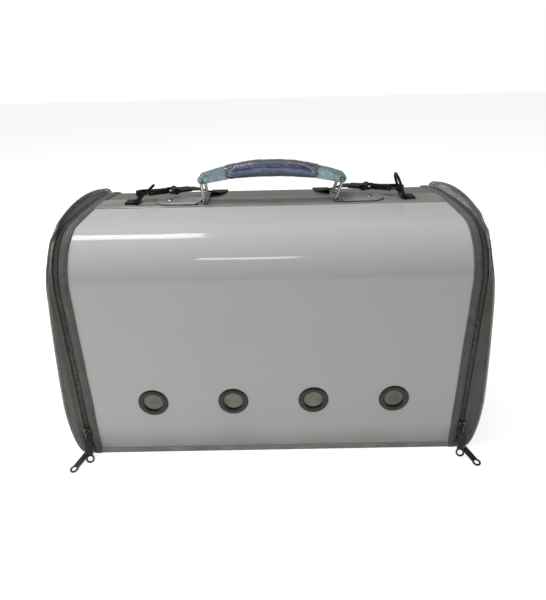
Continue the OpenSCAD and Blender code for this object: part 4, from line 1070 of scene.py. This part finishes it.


# The handle's bands include painted highlights: the light band from -0.12 to 0.10 along the sewn ridge and the light
# rose band at -1.95 along the lower front edge.
handle_leather = iridescent_material(
    "handle_leather", (0.82, 0.95, 1.08), 40.0, 0.08,
    [(-2.3, (0.20, 0.20, 0.205)), (-1.95, (0.24, 0.225, 0.225)), (-1.6, (0.10, 0.14, 0.26)),
     (-0.35, (0.105, 0.13, 0.24)), (-0.12, (0.50, 0.46, 0.43)), (0.10, (0.46, 0.43, 0.41)),
     (0.28, (0.17, 0.155, 0.16)), (0.9, (0.20, 0.215, 0.225))])
strap_leather = iridescent_material("handle_strap_leather", (1.75, 2.35, 1.95), 110.0, 0.24)
rings, held, uvs = [], [], []
for i in range(grip_rings + 1):
    s = 2 * i / grip_rings - 1
    thick = 6.3 + 2.2 * math.sqrt(max(0.0, 1 - abs(s) ** 3))
    ridge = math.radians(62 - 110 * abs(s) ** 6)
    gather = max(0.0, (abs(s) - 0.62) / 0.38) ** 1.5
    ring = []
    for k in range(grip_sides):
        t = 2 * math.pi * k / grip_sides
        c, n = math.cos(t), math.sin(t)
        y = handle_half_width * math.copysign(abs(c) ** 0.6, c)
        r = thick * (0.92 if n < 0 else 1.0) * math.copysign(abs(n) ** 0.8, n)
        turn = math.atan2(n, abs(c))
        sewn = hill(turn, ridge, 0.07)
        beside = hill(turn - ridge, 0.14, 0.07) + hill(turn - ridge, -0.14, 0.07)
        pleat = 0.55 * gather * math.sin(9 * t + 2.3 * math.sin(s * 31) + 5 * s)
        soft = 0.36 * wander(s * 7, c * 1.5, n * 1.5)
        grow = 1 + (0.75 * sewn - 0.5 * beside + pleat + soft) / 9
        if sewn > 0.6 or i in (0, grip_rings):
            held.append(i * grip_sides + k)
        ring.append(handle_point(grip_angle * s, y * (1 + (grow - 1) * 0.8), handle_radius + r * grow))
        uvs.append((s, turn - ridge))
    rings.append(ring)
grip = mesh_piece("handle_padding", (*tube(rings), uvs), handle_leather, "handle",
                  "handle_grip")
inflate(grip, held, pressure=5.0, frames=16, stiffness=9.0, bending=0.6, limit=lambda moves: moves * np.minimum(
    1.0, grip_limit / np.maximum(np.linalg.norm(moves, axis=1, keepdims=True), 1e-9)))

tab_end = handle_radius * (handle_angle - grip_angle) + 1.5
tab_half, tab_flare = 4.7, 0.9
shares = (0.15, 0.35, 0.6, 0.85, 1.0)
outline = arc(0, 0, tab_half, -90, 180, 24) + [(-tab_end * f, tab_half + tab_flare * f) for f in shares]
outline += [(-tab_end * f, -tab_half - tab_flare * f) for f in reversed(shares)]
turns = sorted([2 * math.pi * i / 72 for i in range(72)]
               + [math.atan2(z, -tab_end) % (2 * math.pi) for z in (tab_half + tab_flare, -tab_half - tab_flare)])
layers = [(-12.5, 1.0), (-12.35, 0.45), (-11.9, 0.12), (-11.0, 0.0), (-9.9, 0.28), (-8.8, 0.0)]
layers += [(y, 0.0) for y in np.linspace(-7.2, 7.2, 13)] + [(-y, inset) for y, inset in reversed(layers)]
for side, name, bore in ((-1, "left", 1.85), (1, "right", 2.85)):
    def on_tab(along, y, up):
        """A point of a handle strap, from the ring's bar along the handle's arc."""
        return handle_point(side * (handle_angle + along / handle_radius), y, handle_radius + up)

    outer_rings, inner_rings = [], []
    for y, inset in layers:
        outer = []
        for a in turns:
            far = ray_out(outline, a, (0.0, 0.0)) - inset
            along, up = far * math.cos(a), far * math.sin(a)
            crumple = 0.4 * wander(along / 4, y / 5, up + 7 * side) * held_in(-along / 6)
            up += math.copysign(crumple, up) if abs(up) > 1 else 0.0
            outer.append(on_tab(along, y, up))
        outer_rings.append(outer)
        inner_rings.append([on_tab(bore * math.cos(a), y, bore * math.sin(a)) for a in turns])
    points, quads = tube(inner_rings, shut=False)
    points, faces, _ = joined([tube(outer_rings, shut=False), (points, [tuple(reversed(quad)) for quad in quads])])
    sides, start = len(turns), len(points) // 2
    for a in (0, (len(layers) - 1) * sides):
        for k in range(sides):
            n = (k + 1) % sides
            faces.append((a + k, a + n, start + a + n, start + a + k))
    mesh_piece(f"handle_strap_{name}", (points, faces), strap_leather, "handle",
               f"handle_tab_{name}")
    rows = []
    for along in (-8.0, -21.5):
        for up in (1, -1):
            lift = up * (tab_half + tab_flare * -along / tab_end + 0.15)
            rows.append(row([on_tab(along, y, lift) for y in np.linspace(-9.8, 9.8, 9)], up))
    for y in (-9.9, 9.9):
        rows.append(row([on_tab(along, y, 4.75 + tab_flare * -along / tab_end)
                         for along in (-21.5, -18, -14, -11, -8)]))
    stitches(f"handle_stitches_{name}", rows, silver_thread, "handle",
             seed=47, pitch=2.9, length=2.0, width=0.5)

# ---- Strap rings and their tabs ----
# Short tabs of navy webbing, folded round the flat side of a black D ring and sewn to the strip.
dring_reach, dbar_lift, tab_width, tab_length = 148.5, 3.0, 19.0, 13.0
tab_thread = thread_material("tab_thread", (0.02, 0.022, 0.035))
for side, name in SIDES:
    def on_ring_tab(x, y, z):
        """A point at a distance from the D ring's flat bar and at a height over the strip."""
        return mm(side * (dring_reach + x), y, strip_top + z)

    path = [(tab_length, 1.62), (10.5, 1.66), (8, 1.68), (5.5, 1.75), (3.9, 2.1), (2.9, 2.7),
            *arc(0, dbar_lift, 2.2, 20, 250, 18), (1.6, 0.62), (4, 0.56), (8, 0.56), (tab_length, 0.56)]
    mesh_piece(f"ring_tab_{name}", webbing([on_ring_tab(x, 0, z) for x, z in path], Vector((0, 1, 0)),
                                           tab_width * MM, 1.08 * MM),
               navy_webbing, "carrier", f"dring_tab_{name}")
    rows = [row([on_ring_tab(x, y, 2.22) for y in np.linspace(-8, 8, 7)]) for x in (5.6, 11.6)]
    for slope in (1, -1):
        rows.append(row([on_ring_tab(5.6 + 6.0 * t, slope * (16 * t - 8), 2.24) for t in np.linspace(0, 1, 7)]))
    stitches(f"ring_tab_stitches_{name}", rows, tab_thread, "carrier",
             seed=53, pitch=2.4, length=1.7, width=0.45)
black_metal = metal_material("black_metal", (0.020, 0.020, 0.021), 0.32, 0.6)
gunmetal = metal_material("gunmetal", (0.085, 0.083, 0.08), 0.34, 0.75)
finish_nodes(black_metal, "dring_left", "dring_right")

# ---- Snap hooks and the strap's sewn ends ----
# Black painted zinc hooks with sprung gates. The strap's ends are folded round their swivelling loops and
# sewn to themselves.
hook_turn, hook_middle_y, hook_z, fold_start, fold_end = math.radians(20), 12.25, 262.0, -40.5, -51.0
fold_side = [(-52.5, 0.74), (-48, 0.74), (-43, 0.74), (-39.5, 0.8), (-38, 1.3), (-36.9, 2.1)]
for side, name, hook_x in ((-1, "left", 142.4365), (1, "right", 142.568)):
    finish_nodes(black_metal, f"hook_{name}", f"hook_swivel_{name}")
    finish_nodes(gunmetal, f"hook_gate_{name}")

    def at_hook(x, y, z):
        """A point of the hook's own frame in the shared frame."""
        return mm(side * (hook_x + x * math.cos(hook_turn) + y * math.sin(hook_turn)),
                  hook_middle_y - x * math.sin(hook_turn) + y * math.cos(hook_turn), hook_z + z)

    path = [(x, -z) for x, z in fold_side] + arc(-34.5, 0, 3.0, -135, 270, 16) + fold_side[::-1]
    across = (at_hook(0, 1, 0) - at_hook(0, 0, 0)).normalized()
    mesh_piece(f"strap_fold_{name}", webbing([at_hook(x, 0, z) for x, z in path], across, strap_width, 1.38 * MM),
               navy_webbing, f"{name}_swivel", f"strap_end_{name}")
    rows = [row([at_hook(x, y, 1.5) for y in np.linspace(-8.5, 8.5, 8)]) for x in (fold_start, fold_end)]
    for slope in (-1, 1):
        rows.append(row([at_hook(fold_start + (fold_end - fold_start) * t, slope * (8.5 - 17 * t), 1.5)
                         for t in np.linspace(0, 1, 8)]))
    stitches(f"strap_fold_stitches_{name}", rows, tab_thread, f"{name}_swivel",
             seed=59, pitch=2.6, length=1.8, width=0.45)

# ---- Zip sliders and pulls ----
# Dark plated zinc sliders, two at each end, with flat eyed pulls that hang from their bridges.
for piece in ("slider", "pull"):
    finish_nodes(gunmetal, *[f"{piece}_{name}_{level}" for name in ("left", "right") for level in ("low", "up")])

size = [list(corner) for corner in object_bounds()]
